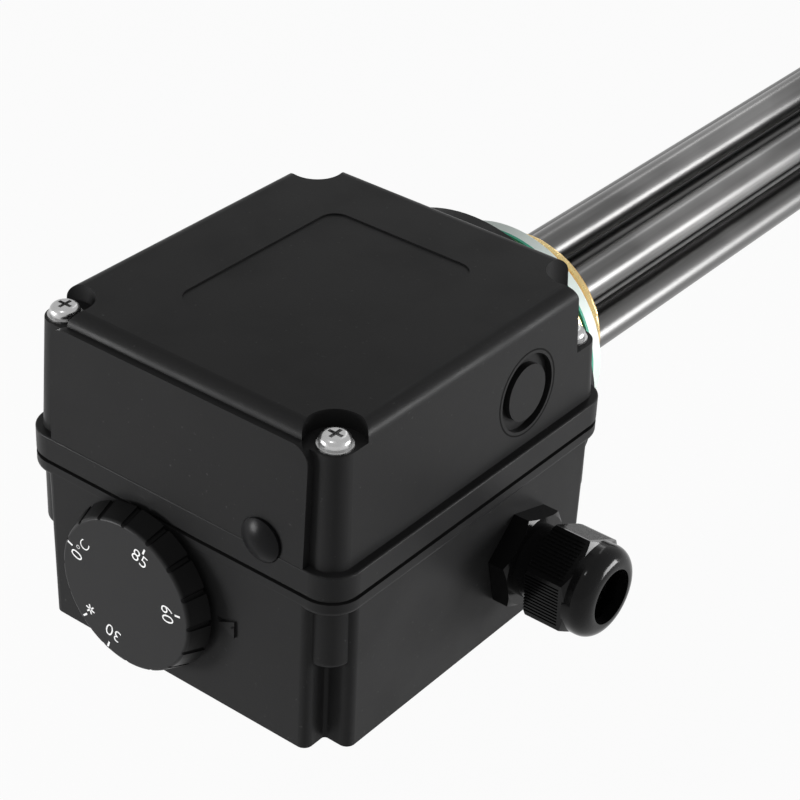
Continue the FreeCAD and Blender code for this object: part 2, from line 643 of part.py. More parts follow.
def make_base():
    inset = base_taper(BASE_HEIGHT)
    low = base_outline(0, inset, NOTCH_ROUND, NOTCH_ROOT)
    high = base_outline(0, 0, NOTCH_ROUND, NOTCH_ROOT)
    body = drafted(low, high, BASE_Z, BASE_TOP)
    flange = prism(oblong(HALF_W, HALF_D, SCREW_INSET), BASE_TOP - BASE_FLANGE, BASE_TOP)
    flange = flange.makeFillet(BASE_FLANGE_ROUND, upper_edges(flange, BASE_TOP - BASE_FLANGE))
    disc = rod_y(PLATE_RADIUS, PLATE_FACE, PLATE_BACK)
    root = rod_y(PLATE_RADIUS, -TANK_SPACE - WALL, PLATE_FACE)
    above_seam = block(-HALF_W, HALF_W, -2 * TANK_SPACE, 0, BASE_TOP, BASE_TOP + BOX_WIDTH)
    under_base = block(-HALF_W, HALF_W, -2 * TANK_SPACE, 0, BASE_Z - BOX_WIDTH, BASE_Z)
    plate = disc.fuse(root.cut(above_seam)).cut(under_base)
    socket = rod_y(SOCKET_OUTER, PLATE_FACE - SOCKET_DEPTH, PLATE_FACE)
    base = fuse_all(body, [flange, plate, socket, pointer()])
    base = base.cut(prism(base_outline(WALL, 0, NOTCH_ROOT, NOTCH_ROUND), FLOOR_Z, BASE_TOP + TINY))
    socket_part = socket.cut(rod_y(SOCKET_OUTER - SOCKET_WALL, PLATE_FACE - SOCKET_DEPTH - TINY, PLATE_FACE))
    floor_bosses = [rod_z(FLOOR_BOSS_RADIUS, BASE_Z + WALL / 2, FLOOR_BOSS_Z, x, y)
                    for x, y in floor_boss_places()]
    base = fuse_all(base, base_bosses() + [socket_part] + floor_bosses)
    base = base.cut(rod_y(SOCKET_OUTER - SOCKET_WALL, PLATE_FACE - SOCKET_DEPTH - TINY, PLATE_FACE))
    base = base.cut(rod_y(OPENING_RADIUS, PLATE_FACE - TINY, PLATE_BACK + TINY))
    for angle in FIXING_ANGLES + (EARTH_ANGLE,):
        x, z = fixing_place(angle)
        base = base.cut(rod_y(M4_CLEARANCE, PLATE_FACE - TINY, PLATE_BACK + TINY, x, z))
    for x, y, z in screw_places(0, 0):
        base = base.cut(rod_z(INSERT_RADIUS, BASE_TOP - INSERT_SINK - INSERT_LENGTH, BASE_TOP + TINY, x, y))
        base = base.cut(rod_z(M4_CLEARANCE, BASE_TOP - BOSS_HEIGHT + BOSS_FLOOR, BASE_TOP + TINY, x, y))
    for x, y in floor_boss_places():
        base = base.cut(rod_z(M4_HOLE, FLOOR_Z - WALL / 2, FLOOR_BOSS_Z + TINY, x, y))
    base = base.cut(rod_y(SPINDLE_HOLE, FRONT_Y - TINY, INNER_FRONT + TINY, KNOB_X, KNOB_Z))
    for x in thermostat_screw_places():
        base = base.cut(countersink(x, COUNTERSINK_GAP))
    gland_hole = GLAND_NECK_RADIUS + GLAND_HOLE_GAP
    base = base.cut(rod_x(gland_hole, HALF_W - 3 * WALL, HALF_W + TINY, GLAND_Y, GLAND_Z))
    return base


# Thermostat and control knob

def thermostat_screw_places():
    return [KNOB_X - THERMOSTAT_PITCH / 2, KNOB_X + THERMOSTAT_PITCH / 2]


def countersink(x, gap):
    """Countersunk screw through the front wall, grown by gap to cut its hole."""
    face = FRONT_Y + base_taper(BASE_TOP - KNOB_Z)
    head = HEAD_RADIUS + gap
    shank = M4_RADIUS + gap
    length = WALL + COUNTERSINK_GRIP
    points = [(0, 0), (head, 0), (shank, head - shank), (shank, length), (0, length)]
    return turned(points, V(x, face, KNOB_Z), Y_AXIS)


def make_thermostat_body():
    x0 = KNOB_X - THERMOSTAT_WIDTH / 2
    x1 = KNOB_X + THERMOSTAT_WIDTH / 2
    z0 = KNOB_Z - THERMOSTAT_HEIGHT / 2
    z1 = KNOB_Z + THERMOSTAT_HEIGHT / 2
    body = block(x0, x1, INNER_FRONT, THERMOSTAT_BACK, z0, z1)
    body = body.makeFillet(THERMOSTAT_CORNER, edges_along_y(body))
    body = body.cut(rod_y(SPINDLE_RADIUS + SPINDLE_GAP, INNER_FRONT - TINY, INNER_FRONT + SPINDLE_BORE,
                          KNOB_X, KNOB_Z))
    y = INNER_FRONT + THERMOSTAT_PARTING
    for low, high in ((z0 - TINY, z0 + PARTING_DEPTH), (z1 - PARTING_DEPTH, z1 + TINY)):
        body = body.cut(block(x0 - TINY, x1 + TINY, y, y + PARTING_WIDTH, low, high))
    for x in thermostat_screw_places():
        body = body.cut(rod_y(M4_HOLE, INNER_FRONT - TINY, INNER_FRONT + 1.5 * COUNTERSINK_GRIP, x, KNOB_Z))
    return body


def spindle_bar(radius, y0, y1):
    bar = rod_y(radius, y0, y1, KNOB_X, KNOB_Z)
    side = SPINDLE_FLAT + radius - SPINDLE_RADIUS
    return bar.cut(block(KNOB_X - 2 * radius, KNOB_X + 2 * radius, y0 - TINY, FRONT_Y - KNOB_GAP + TINY,
                         KNOB_Z + side, KNOB_Z + 2 * radius))


def make_spindle():
    return spindle_bar(SPINDLE_RADIUS, FRONT_Y - SPINDLE_REACH, INNER_FRONT + SPINDLE_ROOT)


def make_knob():
    wall = FRONT_Y + base_taper(BASE_TOP - KNOB_Z)
    rear = wall - KNOB_GAP
    face = rear - KNOB_HEIGHT
    place = V(KNOB_X, rear, KNOB_Z)
    points = [(0, 0), (KNOB_REAR_RADIUS, 0), (KNOB_FACE_RADIUS, KNOB_HEIGHT), (0, KNOB_HEIGHT)]
    knob = turned(points, place, -Y_AXIS)
    knob = knob.makeFillet(KNOB_EDGE, ring_edges_at_y(knob, face))
    lean = V(0, 0, KNOB_REAR_RADIUS - KNOB_FACE_RADIUS)
    for k in range(KNOB_LOBES):
        start = V(0, TINY, KNOB_REAR_RADIUS + KNOB_GROOVE_OUT)
        end = start + V(0, -KNOB_HEIGHT - 2 * TINY, 0) - lean
        groove = Part.makeCylinder(KNOB_GROOVE, (end - start).Length, start, end - start)
        groove.rotate(V(0, 0, 0), Y_AXIS, 360.0 * k / KNOB_LOBES)
        groove.translate(place)
        knob = knob.cut(groove)
    hollow = rod_y(KNOB_FACE_RADIUS - KNOB_SHELL, face + KNOB_SHELL, rear + TINY, KNOB_X, KNOB_Z)
    hub = rod_y(KNOB_HUB_RADIUS, face + KNOB_SHELL, rear, KNOB_X, KNOB_Z)
    knob = knob.cut(hollow).fuse(hub)
    bore = spindle_bar(SPINDLE_RADIUS + SPINDLE_GAP, FRONT_Y - SPINDLE_REACH - SPINDLE_GAP, rear + TINY)
    return knob.cut(bore).removeSplitter()


def flat_tabs(x, z, count, y):
    tabs = []
    for k in range(count):
        left = x + (k - (count - 1) / 2) * TAB_PITCH - TAB_WIDTH / 2
        tabs.append(block(left, left + TAB_WIDTH, y, y + TAB_LENGTH, z - TAB_THICK / 2, z + TAB_THICK / 2))
    return tabs


def bent_tube(points, radius, bend):
    """Round tube along straight runs joined by tangent arcs of one radius."""
    edges = []
    here = points[0]
    for k in range(1, len(points) - 1):
        to_before = (points[k - 1] - points[k]).normalize()
        to_after = (points[k + 1] - points[k]).normalize()
        half = math.acos(max(-1.0, min(1.0, to_before.dot(to_after)))) / 2
        cut = bend / math.tan(half)
        start = points[k] + to_before * cut
        end = points[k] + to_after * cut
        middle = points[k] + (to_before + to_after).normalize() * (bend / math.sin(half) - bend)
        edges.append(Part.LineSegment(here, start).toShape())
        edges.append(Part.Arc(start, middle, end).toShape())
        here = end
    edges.append(Part.LineSegment(here, points[-1]).toShape())
    circle = Part.Wire(Part.makeCircle(radius, points[0], points[1] - points[0]))
    return Part.Wire(edges).makePipeShell([circle], True, False)


# Safety limiter

def make_limiter_body():
    x0 = RESET_X - LIMITER_WIDTH / 2
    z0 = RESET_Z - LIMITER_HEIGHT / 2
    body = block(x0, x0 + LIMITER_WIDTH, LIMITER_FRONT, LIMITER_BACK, z0, z0 + LIMITER_HEIGHT)
    body = body.makeFillet(LIMITER_CORNER, edges_along_y(body))
    neck = rod_y(NECK_RADIUS, LIMITER_FRONT - NECK_LENGTH, LIMITER_FRONT, RESET_X, RESET_Z)
    bore = rod_y(BUTTON_RADIUS + BUTTON_GAP, LIMITER_FRONT - NECK_LENGTH - TINY,
                 LIMITER_FRONT + BUTTON_TRAVEL + BUTTON_ROOM, RESET_X, RESET_Z)
    return body.fuse(neck).cut(bore).removeSplitter()


def make_button():
    tip = LIMITER_FRONT - NECK_LENGTH - BUTTON_OUT
    button = rod_y(BUTTON_RADIUS, tip, LIMITER_FRONT, RESET_X, RESET_Z)
    return button.makeFillet(BUTTON_ROUND, ring_edges_at_y(button, tip))


def make_bracket():
    x0 = RESET_X - BRACKET_WIDTH / 2
    x1 = RESET_X + BRACKET_WIDTH / 2
    front = LIMITER_FRONT - SHEET
    top = RESET_Z + LIMITER_HEIGHT / 2 - BRACKET_TOP
    upright = block(x0, x1, front, LIMITER_FRONT, FLOOR_BOSS_Z, top)
    foot = block(x0, x1, front, LIMITER_FRONT + BRACKET_FOOT, FLOOR_BOSS_Z, FLOOR_BOSS_Z + SHEET)
    bracket = upright.fuse(foot).removeSplitter()
    bend = [e for e in ring_edges_at_y(bracket, front) if abs(e.Vertexes[0].Z - FLOOR_BOSS_Z) < 0.01
            and abs(e.Vertexes[-1].Z - FLOOR_BOSS_Z) < 0.01]
    bracket = bracket.makeFillet(SHEET, bend)
    bracket = bracket.cut(rod_y(NECK_RADIUS + CAP_GAP, front - TINY, LIMITER_FRONT + TINY, RESET_X, RESET_Z))
    for x, y in floor_boss_places()[:2]:
        bracket = bracket.cut(rod_z(M4_CLEARANCE, FLOOR_BOSS_Z - TINY, FLOOR_BOSS_Z + 2 * SHEET, x, y))
    return bracket


def make_neck_nut():
    place = V(RESET_X, LIMITER_FRONT - SHEET, RESET_Z)
    nut = hex_prism(hex_corner(NECK_NUT), NECK_NUT_THICK, place, -Y_AXIS, CORNER_UP)
    return nut.cut(rod_y(NECK_RADIUS + GLAND_THREAD_GAP, LIMITER_FRONT - SHEET - 2 * NECK_NUT_THICK,
                         LIMITER_FRONT, RESET_X, RESET_Z))


# Screw plug

def make_plug():
    length = COLLAR_FRONT - PLATE_BACK + TINY
    hexagon = hex_prism(hex_corner(PLUG_HEX), length, V(0, PLATE_BACK, 0), Y_AXIS, CORNER_UP)
    collar = rod_y(COLLAR_RADIUS, COLLAR_FRONT, COLLAR_BACK)
    start = COLLAR_BACK - TINY
    thread = turned([(0, start), (RELIEF_RADIUS, start), (RELIEF_RADIUS, 0), (THREAD_RADIUS, 0),
                     (THREAD_RADIUS, PLUG_END - THREAD_CHAMFER), (THREAD_RADIUS - THREAD_CHAMFER, PLUG_END),
                     (0, PLUG_END)], V(0, 0, 0), Y_AXIS)
    plug = fuse_all(hexagon, [collar, thread])
    plug = plug.cut(rod_y(OPENING_RADIUS, PLATE_BACK - TINY, WEB_FRONT))
    for k in range(6):
        x, z = leg_place(k)
        plug = plug.cut(rod_y(LEG_RADIUS, WEB_FRONT - TINY, PLUG_END + TINY, x, z))
    for side in (-1, 1):
        x, z = well_place(side)
        plug = plug.cut(rod_y(WELL_RADIUS, WEB_FRONT - TINY, PLUG_END + TINY, x, z))
    for angle in FIXING_ANGLES + (EARTH_ANGLE,):
        x, z = fixing_place(angle)
        plug = plug.cut(rod_y(M4_HOLE, PLATE_BACK - TINY, PLATE_BACK + FIXING_DEPTH + 1, x, z))
    return plug


def flat_ring(outer, inner, y0, y1):
    return rod_y(outer, y0, y1).cut(rod_y(inner, y0 - TINY, y1 + TINY))


def make_fixing_screws():
    screw = pan_screw(PLATE_THICK + FIXING_DEPTH)
    places = [fixing_place(angle) for angle in FIXING_ANGLES]
    return [put(screw, V(x, PLATE_FACE, z), -Y_AXIS) for x, z in places]


def well_place(side):
    angle = math.radians(WELL_ANGLE)
    return side * WELL_OFFSET * math.cos(angle), side * WELL_OFFSET * math.sin(angle)


def make_well(side):
    x, z = well_place(side)
    outside = rod_y(WELL_RADIUS, -TUBE_INSET, WELL_REACH, x, z)
    outside = outside.makeFillet(WELL_TIP_ROUND, ring_edges_at_y(outside, WELL_REACH))
    return outside.cut(rod_y(WELL_RADIUS - WELL_WALL, -TUBE_INSET - TINY, WELL_REACH - WELL_END, x, z))


def make_bulb(side):
    x, z = well_place(side)
    return rod_y(BULB_RADIUS, BULB_TIP - BULB_LENGTH, BULB_TIP, x, z)


def make_element(first):
    """One hairpin: two legs of the ring of six, joined by a half circle at the far end."""
    x0, z0 = leg_place(first)
    x1, z1 = leg_place(first + 1)
    bend = math.hypot(x1 - x0, z1 - z0) / 2
    turn_y = TUBE_REACH - LEG_RADIUS - bend
    start = V(x0, -TUBE_INSET, z0)
    end = V(x1, -TUBE_INSET, z1)
    far0 = V(x0, turn_y, z0)
    far1 = V(x1, turn_y, z1)
    top = V((x0 + x1) / 2, turn_y + bend, (z0 + z1) / 2)
    path = Part.Wire([Part.LineSegment(start, far0).toShape(), Part.Arc(far0, top, far1).toShape(),
                      Part.LineSegment(far1, end).toShape()])
    circle = Part.Wire(Part.makeCircle(LEG_RADIUS, start, Y_AXIS))
    return path.makePipeShell([circle], True, False)


def make_pins():
    return [rod_y(PIN_RADIUS, INSULATOR_END - PIN_LENGTH, -TUBE_INSET, *leg_place(k)) for k in range(6)]


def make_insulators():
    beads = []
    for k in range(6):
        x, z = leg_place(k)
        bead = rod_y(INSULATOR_RADIUS, INSULATOR_END, -TUBE_INSET, x, z)
        beads.append(bead.cut(rod_y(PIN_RADIUS, INSULATOR_END - TINY, -TUBE_INSET + TINY, x, z)))
    return beads


def m4_nut(x, y, z):
    nut = hex_prism(hex_corner(M4_NUT), M4_NUT_THICK, V(x, y, z), -Y_AXIS, CORNER_UP)
    return nut.cut(rod_y(M4_HOLE, y - 2 * M4_NUT_THICK, y + TINY, x, z))


def make_pin_nuts():
    y = INSULATOR_END - LINK_PLACE - LINK_THICK
    return [m4_nut(leg_place(k)[0], y, leg_place(k)[1]) for k in range(6)]


def make_star_link():
    y0 = INSULATOR_END - LINK_PLACE - LINK_THICK
    inner = WELL_OFFSET + WELL_RADIUS + TINY
    link = rod_y(inner + LINK_RING, y0, y0 + LINK_THICK)
    for k in (0, 2, 4):
        angle = LEG_ANGLE + LEG_STEP * k
        arm = block(0, LEG_PITCH, y0, y0 + LINK_THICK, -M4_NUT / 2, M4_NUT / 2)
        arm.rotate(V(0, 0, 0), Y_AXIS, -angle)
        eye = rod_y(M4_NUT / 2, y0, y0 + LINK_THICK, *leg_place(k))
        link = link.fuse(arm).fuse(eye)
    link = link.cut(rod_y(inner, y0 - TINY, y0 + 2 * LINK_THICK))
    for k in (0, 2, 4):
        link = link.cut(rod_y(M4_HOLE, y0 - TINY, y0 + 2 * LINK_THICK, *leg_place(k)))
    return link.removeSplitter()


def make_earth_stud():
    x, z = fixing_place(EARTH_ANGLE)
    return rod_y(M4_RADIUS, PLATE_FACE - EARTH_STUD_OUT, PLATE_BACK + FIXING_DEPTH, x, z)


def make_earth_nuts():
    x, z = fixing_place(EARTH_ANGLE)
    return [m4_nut(x, PLATE_FACE, z), m4_nut(x, PLATE_FACE - M4_NUT_THICK - 2 * WASHER_THICK, z)]


def make_earth_washers():
    x, z = fixing_place(EARTH_ANGLE)
    y = PLATE_FACE - M4_NUT_THICK
    return rod_y(WASHER_RADIUS, y - 2 * WASHER_THICK, y, x, z).cut(
        rod_y(M4_HOLE, y - 2 * WASHER_THICK - TINY, y + TINY, x, z))


# Cable gland

def gland_wall():
    """Outer face of the base's right wall at the top of the gland's hexagon."""
    return HALF_W - BASE_STEP - base_taper(BASE_TOP - GLAND_Z - GLAND_HEX_CORNER)


def gland_bar(corner, turn, from_wall, length):
    """Hexagonal bar along +X whose corner angle is measured from +Y towards +Z."""
    points = [V(gland_wall() + from_wall, GLAND_Y + corner * math.cos(math.radians(turn + 60 * k)),
                GLAND_Z + corner * math.sin(math.radians(turn + 60 * k))) for k in range(7)]
    return Part.Face(Part.makePolygon(points)).extrude(V(length, 0, 0))


def gland_rod(radius, from_wall, to_wall):
    return rod_x(radius, gland_wall() + from_wall, gland_wall() + to_wall, GLAND_Y, GLAND_Z)


def make_gland_body():
    hexagon = gland_bar(GLAND_HEX_CORNER, GLAND_HEX_TURN, 0, GLAND_HEX_THICK)
    across, along = GLAND_HEX_BEVEL
    crown = turned([(0, 0), (GLAND_HEX_CORNER, 0), (GLAND_HEX_CORNER, GLAND_HEX_THICK - along),
                    (GLAND_HEX_CORNER - across, GLAND_HEX_THICK), (0, GLAND_HEX_THICK)],
                   V(gland_wall(), GLAND_Y, GLAND_Z), X_AXIS)
    neck = gland_rod(GLAND_NECK_RADIUS, GLAND_HEX_THICK - TINY, CLAW_SEAT)
    tail = gland_rod(GLAND_NECK_RADIUS, -WALL - GLAND_INSIDE, TINY)
    body = fuse_all(hexagon.common(crown), [neck, tail])
    return body.cut(gland_rod(GLAND_BORE, -2 * WALL - GLAND_INSIDE, CLAW_SEAT + TINY))


def make_locknut():
    face = HALF_W - BASE_STEP - WALL
    nut = hex_prism(hex_corner(LOCKNUT_HEX), LOCKNUT_THICK, V(face, GLAND_Y, GLAND_Z), -X_AXIS, 0)
    bore = rod_x(GLAND_NECK_RADIUS + GLAND_THREAD_GAP, face - 2 * LOCKNUT_THICK, face + TINY, GLAND_Y, GLAND_Z)
    return nut.cut(bore)


def grip_grooves():
    """Grooves along the dome nut's six flats that leave the grip ribs between them."""
    flat = GLAND_NUT_CORNER * math.cos(math.radians(30))
    pitch = GLAND_NUT_CORNER * RIB_BAND / RIB_COUNT
    grooves = []
    for side in range(6):
        for k in range(RIB_COUNT):
            across = (k - (RIB_COUNT - 1) / 2) * pitch
            groove = block(-TINY, GLAND_NUT_HEX_LENGTH - RIB_END, across - pitch / 4, across + pitch / 4,
                           flat - RIB_DEPTH, flat + 1)
            groove.rotate(V(0, 0, 0), X_AXIS, GLAND_NUT_TURN - 60 + 60 * side)
            groove.translate(V(gland_wall() + GLAND_NUT_START, GLAND_Y, GLAND_Z))
            grooves.append(groove)
    return grooves


def make_dome_nut():
    place = V(gland_wall() + GLAND_NUT_START, GLAND_Y, GLAND_Z)
    hexagon = gland_bar(GLAND_NUT_CORNER, GLAND_NUT_TURN, GLAND_NUT_START, GLAND_NUT_HEX_LENGTH)
    across, along = GLAND_NUT_SHOULDER
    cone = turned([(0, 0), (GLAND_NUT_CORNER - GLAND_NUT_BEVEL, 0), (GLAND_NUT_CORNER, GLAND_NUT_BEVEL),
                   (GLAND_NUT_CORNER, GLAND_NUT_HEX_LENGTH - along),
                   (GLAND_NUT_CORNER - across, GLAND_NUT_HEX_LENGTH), (0, GLAND_NUT_HEX_LENGTH)],
                  place, X_AXIS)
    nut = cut_all(hexagon.common(cone), grip_grooves())
    end = GLAND_NUT_START + GLAND_NUT_LENGTH
    dome = gland_rod(GLAND_DOME_RADIUS, GLAND_NUT_START + GLAND_NUT_HEX_LENGTH - TINY, end)
    rim = [e for e in dome.Edges if all(abs(v.X - gland_wall() - end) < 0.01 for v in e.Vertexes)]
    dome = dome.makeFillet(GLAND_DOME_RADIUS - GLAND_MOUTH - GLAND_RIM, rim)
    bore = GLAND_NECK_RADIUS + GLAND_THREAD_GAP
    beyond = GLAND_NUT_LENGTH + TINY
    hollow = turned([(0, -TINY), (bore, -TINY), (bore, GLAND_NUT_BORE),
                     (GLAND_MOUTH, GLAND_NUT_LENGTH - GLAND_LIP), (GLAND_MOUTH, beyond), (0, beyond)],
                    place, X_AXIS)
    return nut.fuse(dome).cut(hollow).removeSplitter()


def make_gland_claw():
    """Slotted cage that the dome nut presses inward."""
    place = V(gland_wall() + CLAW_SEAT, GLAND_Y, GLAND_Z)
    cage = turned([(CLAW_OUTER - CLAW_THICK, 0), (CLAW_OUTER, 0), (CLAW_OUTER, CLAW_RING),
                   (CLAW_TIP, CLAW_LENGTH), (CLAW_TIP - CLAW_THICK, CLAW_LENGTH),
                   (CLAW_OUTER - CLAW_THICK, CLAW_RING)], place, X_AXIS)
    for k in range(CLAW_SLOTS):
        slot = block(CLAW_SLOT_START, CLAW_LENGTH + TINY, -CLAW_SLOT / 2, CLAW_SLOT / 2, 0, CLAW_OUTER + TINY)
        slot.rotate(V(0, 0, 0), X_AXIS, 360 * k / CLAW_SLOTS)
        slot.translate(place)
        cage = cage.cut(slot)
    return cage


def make_gland_seal():
    return turned([(SEAL_BORE, 0), (CLAW_OUTER - CLAW_THICK, 0), (CLAW_OUTER - CLAW_THICK, SEAL_STRAIGHT),
                   (CLAW_TIP - CLAW_THICK, SEAL_LENGTH), (SEAL_BORE, SEAL_LENGTH + SEAL_CROWN)],
                  V(gland_wall() + CLAW_SEAT, GLAND_Y, GLAND_Z), X_AXIS)


# Terminal block

def pole_places():
    return [BLOCK_X + (k - (BLOCK_POLES - 1) / 2) * BLOCK_PITCH for k in range(BLOCK_POLES)]


def make_block():
    half = BLOCK_POLES * BLOCK_PITCH / 2
    z0 = FLOOR_BOSS_Z
    body = block(BLOCK_X - half, BLOCK_X + half, BLOCK_Y - BLOCK_DEPTH / 2, BLOCK_Y + BLOCK_DEPTH / 2,
                 z0, z0 + BLOCK_HEIGHT)
    lugs = block(BLOCK_X - half - BLOCK_END, BLOCK_X + half + BLOCK_END, BLOCK_Y - BLOCK_DEPTH / 4,
                 BLOCK_Y + BLOCK_DEPTH / 4, z0, z0 + BLOCK_LUG)
    body = body.fuse(lugs).removeSplitter()
    middle = z0 + BLOCK_HEIGHT / 2
    pocket = CLAMP_SIZE / 2 + CLAMP_GAP
    for x in pole_places():
        body = body.cut(block(x - pocket, x + pocket, BLOCK_Y - BLOCK_DEPTH, BLOCK_Y + BLOCK_DEPTH,
                              middle - pocket, middle + pocket))
        for side in (-1, 1):
            y = BLOCK_Y + side * CLAMP_LENGTH / 4
            body = body.cut(rod_z(CLAMP_SHAFT, middle, z0 + BLOCK_HEIGHT + TINY, x, y))
    for k in range(BLOCK_POLES - 1):
        x = (pole_places()[k] + pole_places()[k + 1]) / 2
        body = body.cut(block(x - POLE_CUT / 2, x + POLE_CUT / 2, BLOCK_Y - BLOCK_DEPTH, BLOCK_Y + BLOCK_DEPTH,
                              z0 + BLOCK_HEIGHT - POLE_CUT_DEPTH, z0 + BLOCK_HEIGHT + TINY))
    for x, y in floor_boss_places()[2:]:
        body = body.cut(rod_z(M4_CLEARANCE, z0 - TINY, z0 + BLOCK_LUG + TINY, x, y))
    return body


def make_clamps():
    middle = FLOOR_BOSS_Z + BLOCK_HEIGHT / 2
    half = CLAMP_SIZE / 2
    clamps = []
    for x in pole_places():
        clamp = block(x - half, x + half, BLOCK_Y - CLAMP_LENGTH / 2, BLOCK_Y + CLAMP_LENGTH / 2,
                      middle - half - CLAMP_GAP, middle + half - CLAMP_GAP)
        clamp = clamp.cut(rod_y(CLAMP_BORE, BLOCK_Y - CLAMP_LENGTH, BLOCK_Y + CLAMP_LENGTH, x, middle))
        for side in (-1, 1):
            y = BLOCK_Y + side * CLAMP_LENGTH / 4
            clamp = clamp.cut(rod_z(CLAMP_SCREW, middle, middle + CLAMP_SIZE, x, y))
        clamps.append(clamp)
    return clamps


def make_clamp_screws():
    middle = FLOOR_BOSS_Z + BLOCK_HEIGHT / 2
    top = middle + CLAMP_SIZE - CLAMP_SCREW_TOP
    screws = []
    for x in pole_places():
        for side in (-1, 1):
            y = BLOCK_Y + side * CLAMP_LENGTH / 4
            screw = rod_z(CLAMP_SCREW, middle + CLAMP_SCREW_FLOOR, top, x, y)
            slot = block(x - 2 * CLAMP_SCREW, x + 2 * CLAMP_SCREW, y - SLOT_WIDTH / 2, y + SLOT_WIDTH / 2,
                         top - SLOT_DEPTH, top + TINY)
            screws.append(screw.cut(slot))
    return screws


def make_floor_screws(places, thick):
    return [put(pan_screw(thick + FLOOR_BOSS_HEIGHT), V(x, y, FLOOR_BOSS_Z + thick)) for x, y in places]


def make_capillary(side, target):
    x, z = well_place(side)
    start = V(x, BULB_TIP - BULB_LENGTH, z)
    turn = V(x, PLATE_FACE - CAPILLARY_TURN, z)
    before = target + V(0, CAPILLARY_LEAD, 0)
    return bent_tube([start, turn, before, target], CAPILLARY_RADIUS, CAPILLARY_BEND)


save("base_box", make_base())
save("lid", make_lid())
save("lid_seal", make_seal())
save("lid_screws", *make_lid_screws())
save("lid_washers", *make_lid_washers())
save("base_inserts", *make_inserts())
save("reset_cap", make_reset_cap())
save("control_knob", make_knob())
save("thermostat_spindle", make_spindle())
save("thermostat_body", make_thermostat_body())
save("thermostat_screws", *[countersink(x, 0) for x in thermostat_screw_places()])
save("thermostat_terminals", *flat_tabs(KNOB_X, KNOB_Z + THERMOSTAT_TAB_RISE, 3, THERMOSTAT_BACK))
save("thermostat_capillary", make_capillary(1, V(KNOB_X + THERMOSTAT_TUBE_SIDE, THERMOSTAT_BACK, KNOB_Z)))
save("thermostat_bulb", make_bulb(1))
save("limiter_body", make_limiter_body())
save("limiter_button", make_button())
save("limiter_bracket", make_bracket())
save("limiter_nut", make_neck_nut())
save("limiter_terminals", *flat_tabs(RESET_X, RESET_Z + LIMITER_TAB_RISE, 2, LIMITER_BACK))
LIMITER_TUBE = V(RESET_X + LIMITER_TUBE_SIDE, LIMITER_BACK, RESET_Z - LIMITER_TUBE_DROP)
save("limiter_capillary", make_capillary(-1, LIMITER_TUBE))
save("limiter_bulb", make_bulb(-1))
save("bracket_screws", *make_floor_screws(floor_boss_places()[:2], SHEET))
save("thermostat_well", make_well(1))
save("limiter_well", make_well(-1))
for number in range(3):
    save("heating_element_" + str(number + 1), make_element(2 * number))
save("terminal_pins", *make_pins())
save("pin_insulators", *make_insulators())
save("pin_nuts", *make_pin_nuts())
save("star_link", make_star_link())
save("screw_plug", make_plug())
save("flat_gasket", flat_ring(GASKET_RADIUS, THREAD_RADIUS + GASKET_GAP, -GASKET_THICK, 0))
save("backing_ring", flat_ring(GASKET_RADIUS, THREAD_RADIUS + GASKET_GAP, COLLAR_BACK, -GASKET_THICK))
save("plug_screws", *make_fixing_screws())
save("earth_stud", make_earth_stud())
save("earth_nuts", *make_earth_nuts())
save("earth_washer", make_earth_washers())
save("gland_body", make_gland_body())
save("gland_locknut", make_locknut())
save("gland_dome_nut", make_dome_nut())
save("gland_claw", make_gland_claw())
save("gland_seal", make_gland_seal())
save("terminal_block", make_block())
save("terminal_clamps", *make_clamps())
save("terminal_screws", *make_clamp_screws())
save("block_screws", *make_floor_screws(floor_boss_places()[2:], BLOCK_LUG))
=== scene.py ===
import math

import bmesh
import bpy
from mathutils import Matrix, Vector
from mathutils.bvhtree import BVHTree


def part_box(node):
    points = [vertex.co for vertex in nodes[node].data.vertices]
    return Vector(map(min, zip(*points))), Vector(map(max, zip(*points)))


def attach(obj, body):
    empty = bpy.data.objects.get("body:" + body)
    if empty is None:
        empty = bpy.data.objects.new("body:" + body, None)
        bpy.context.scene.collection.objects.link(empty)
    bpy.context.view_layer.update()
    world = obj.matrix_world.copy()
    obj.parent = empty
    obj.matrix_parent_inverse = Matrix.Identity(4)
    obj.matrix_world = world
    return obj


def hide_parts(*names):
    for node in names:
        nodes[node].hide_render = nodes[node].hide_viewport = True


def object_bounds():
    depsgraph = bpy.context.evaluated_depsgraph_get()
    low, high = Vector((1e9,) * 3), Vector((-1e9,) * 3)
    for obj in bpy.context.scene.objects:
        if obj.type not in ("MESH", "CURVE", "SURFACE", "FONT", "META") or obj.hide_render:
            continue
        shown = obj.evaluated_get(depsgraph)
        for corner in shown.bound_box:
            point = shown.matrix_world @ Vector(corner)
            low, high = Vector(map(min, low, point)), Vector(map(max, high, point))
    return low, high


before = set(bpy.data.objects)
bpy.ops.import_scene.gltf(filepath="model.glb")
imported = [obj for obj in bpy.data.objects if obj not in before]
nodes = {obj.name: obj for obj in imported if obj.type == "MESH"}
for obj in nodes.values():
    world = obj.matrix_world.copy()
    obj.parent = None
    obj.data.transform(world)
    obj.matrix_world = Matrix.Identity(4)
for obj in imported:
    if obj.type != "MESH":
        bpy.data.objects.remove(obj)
cad_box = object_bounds()


# View: a long lens from the front right and above, on the corner with the knob and the gland. Two
# broad lamps light the front and the right side, a small one shines from above, and a long one
# lights the tubes from behind.

SENSOR_WIDTH = 36.0                 # millimetres, as the lens
LENS = 104.35
VIEW_AZIMUTH = 36.78                # degrees
VIEW_ELEVATION = 32.75
VIEW_ROLL = 2.71
VIEW_PLACE = (0.2931, -0.4365, 0.3139)
BOX_MIDDLE = (0.0, -0.0754, 0.0)
TUBES_MIDDLE = (0.0, 0.15, 0.0)

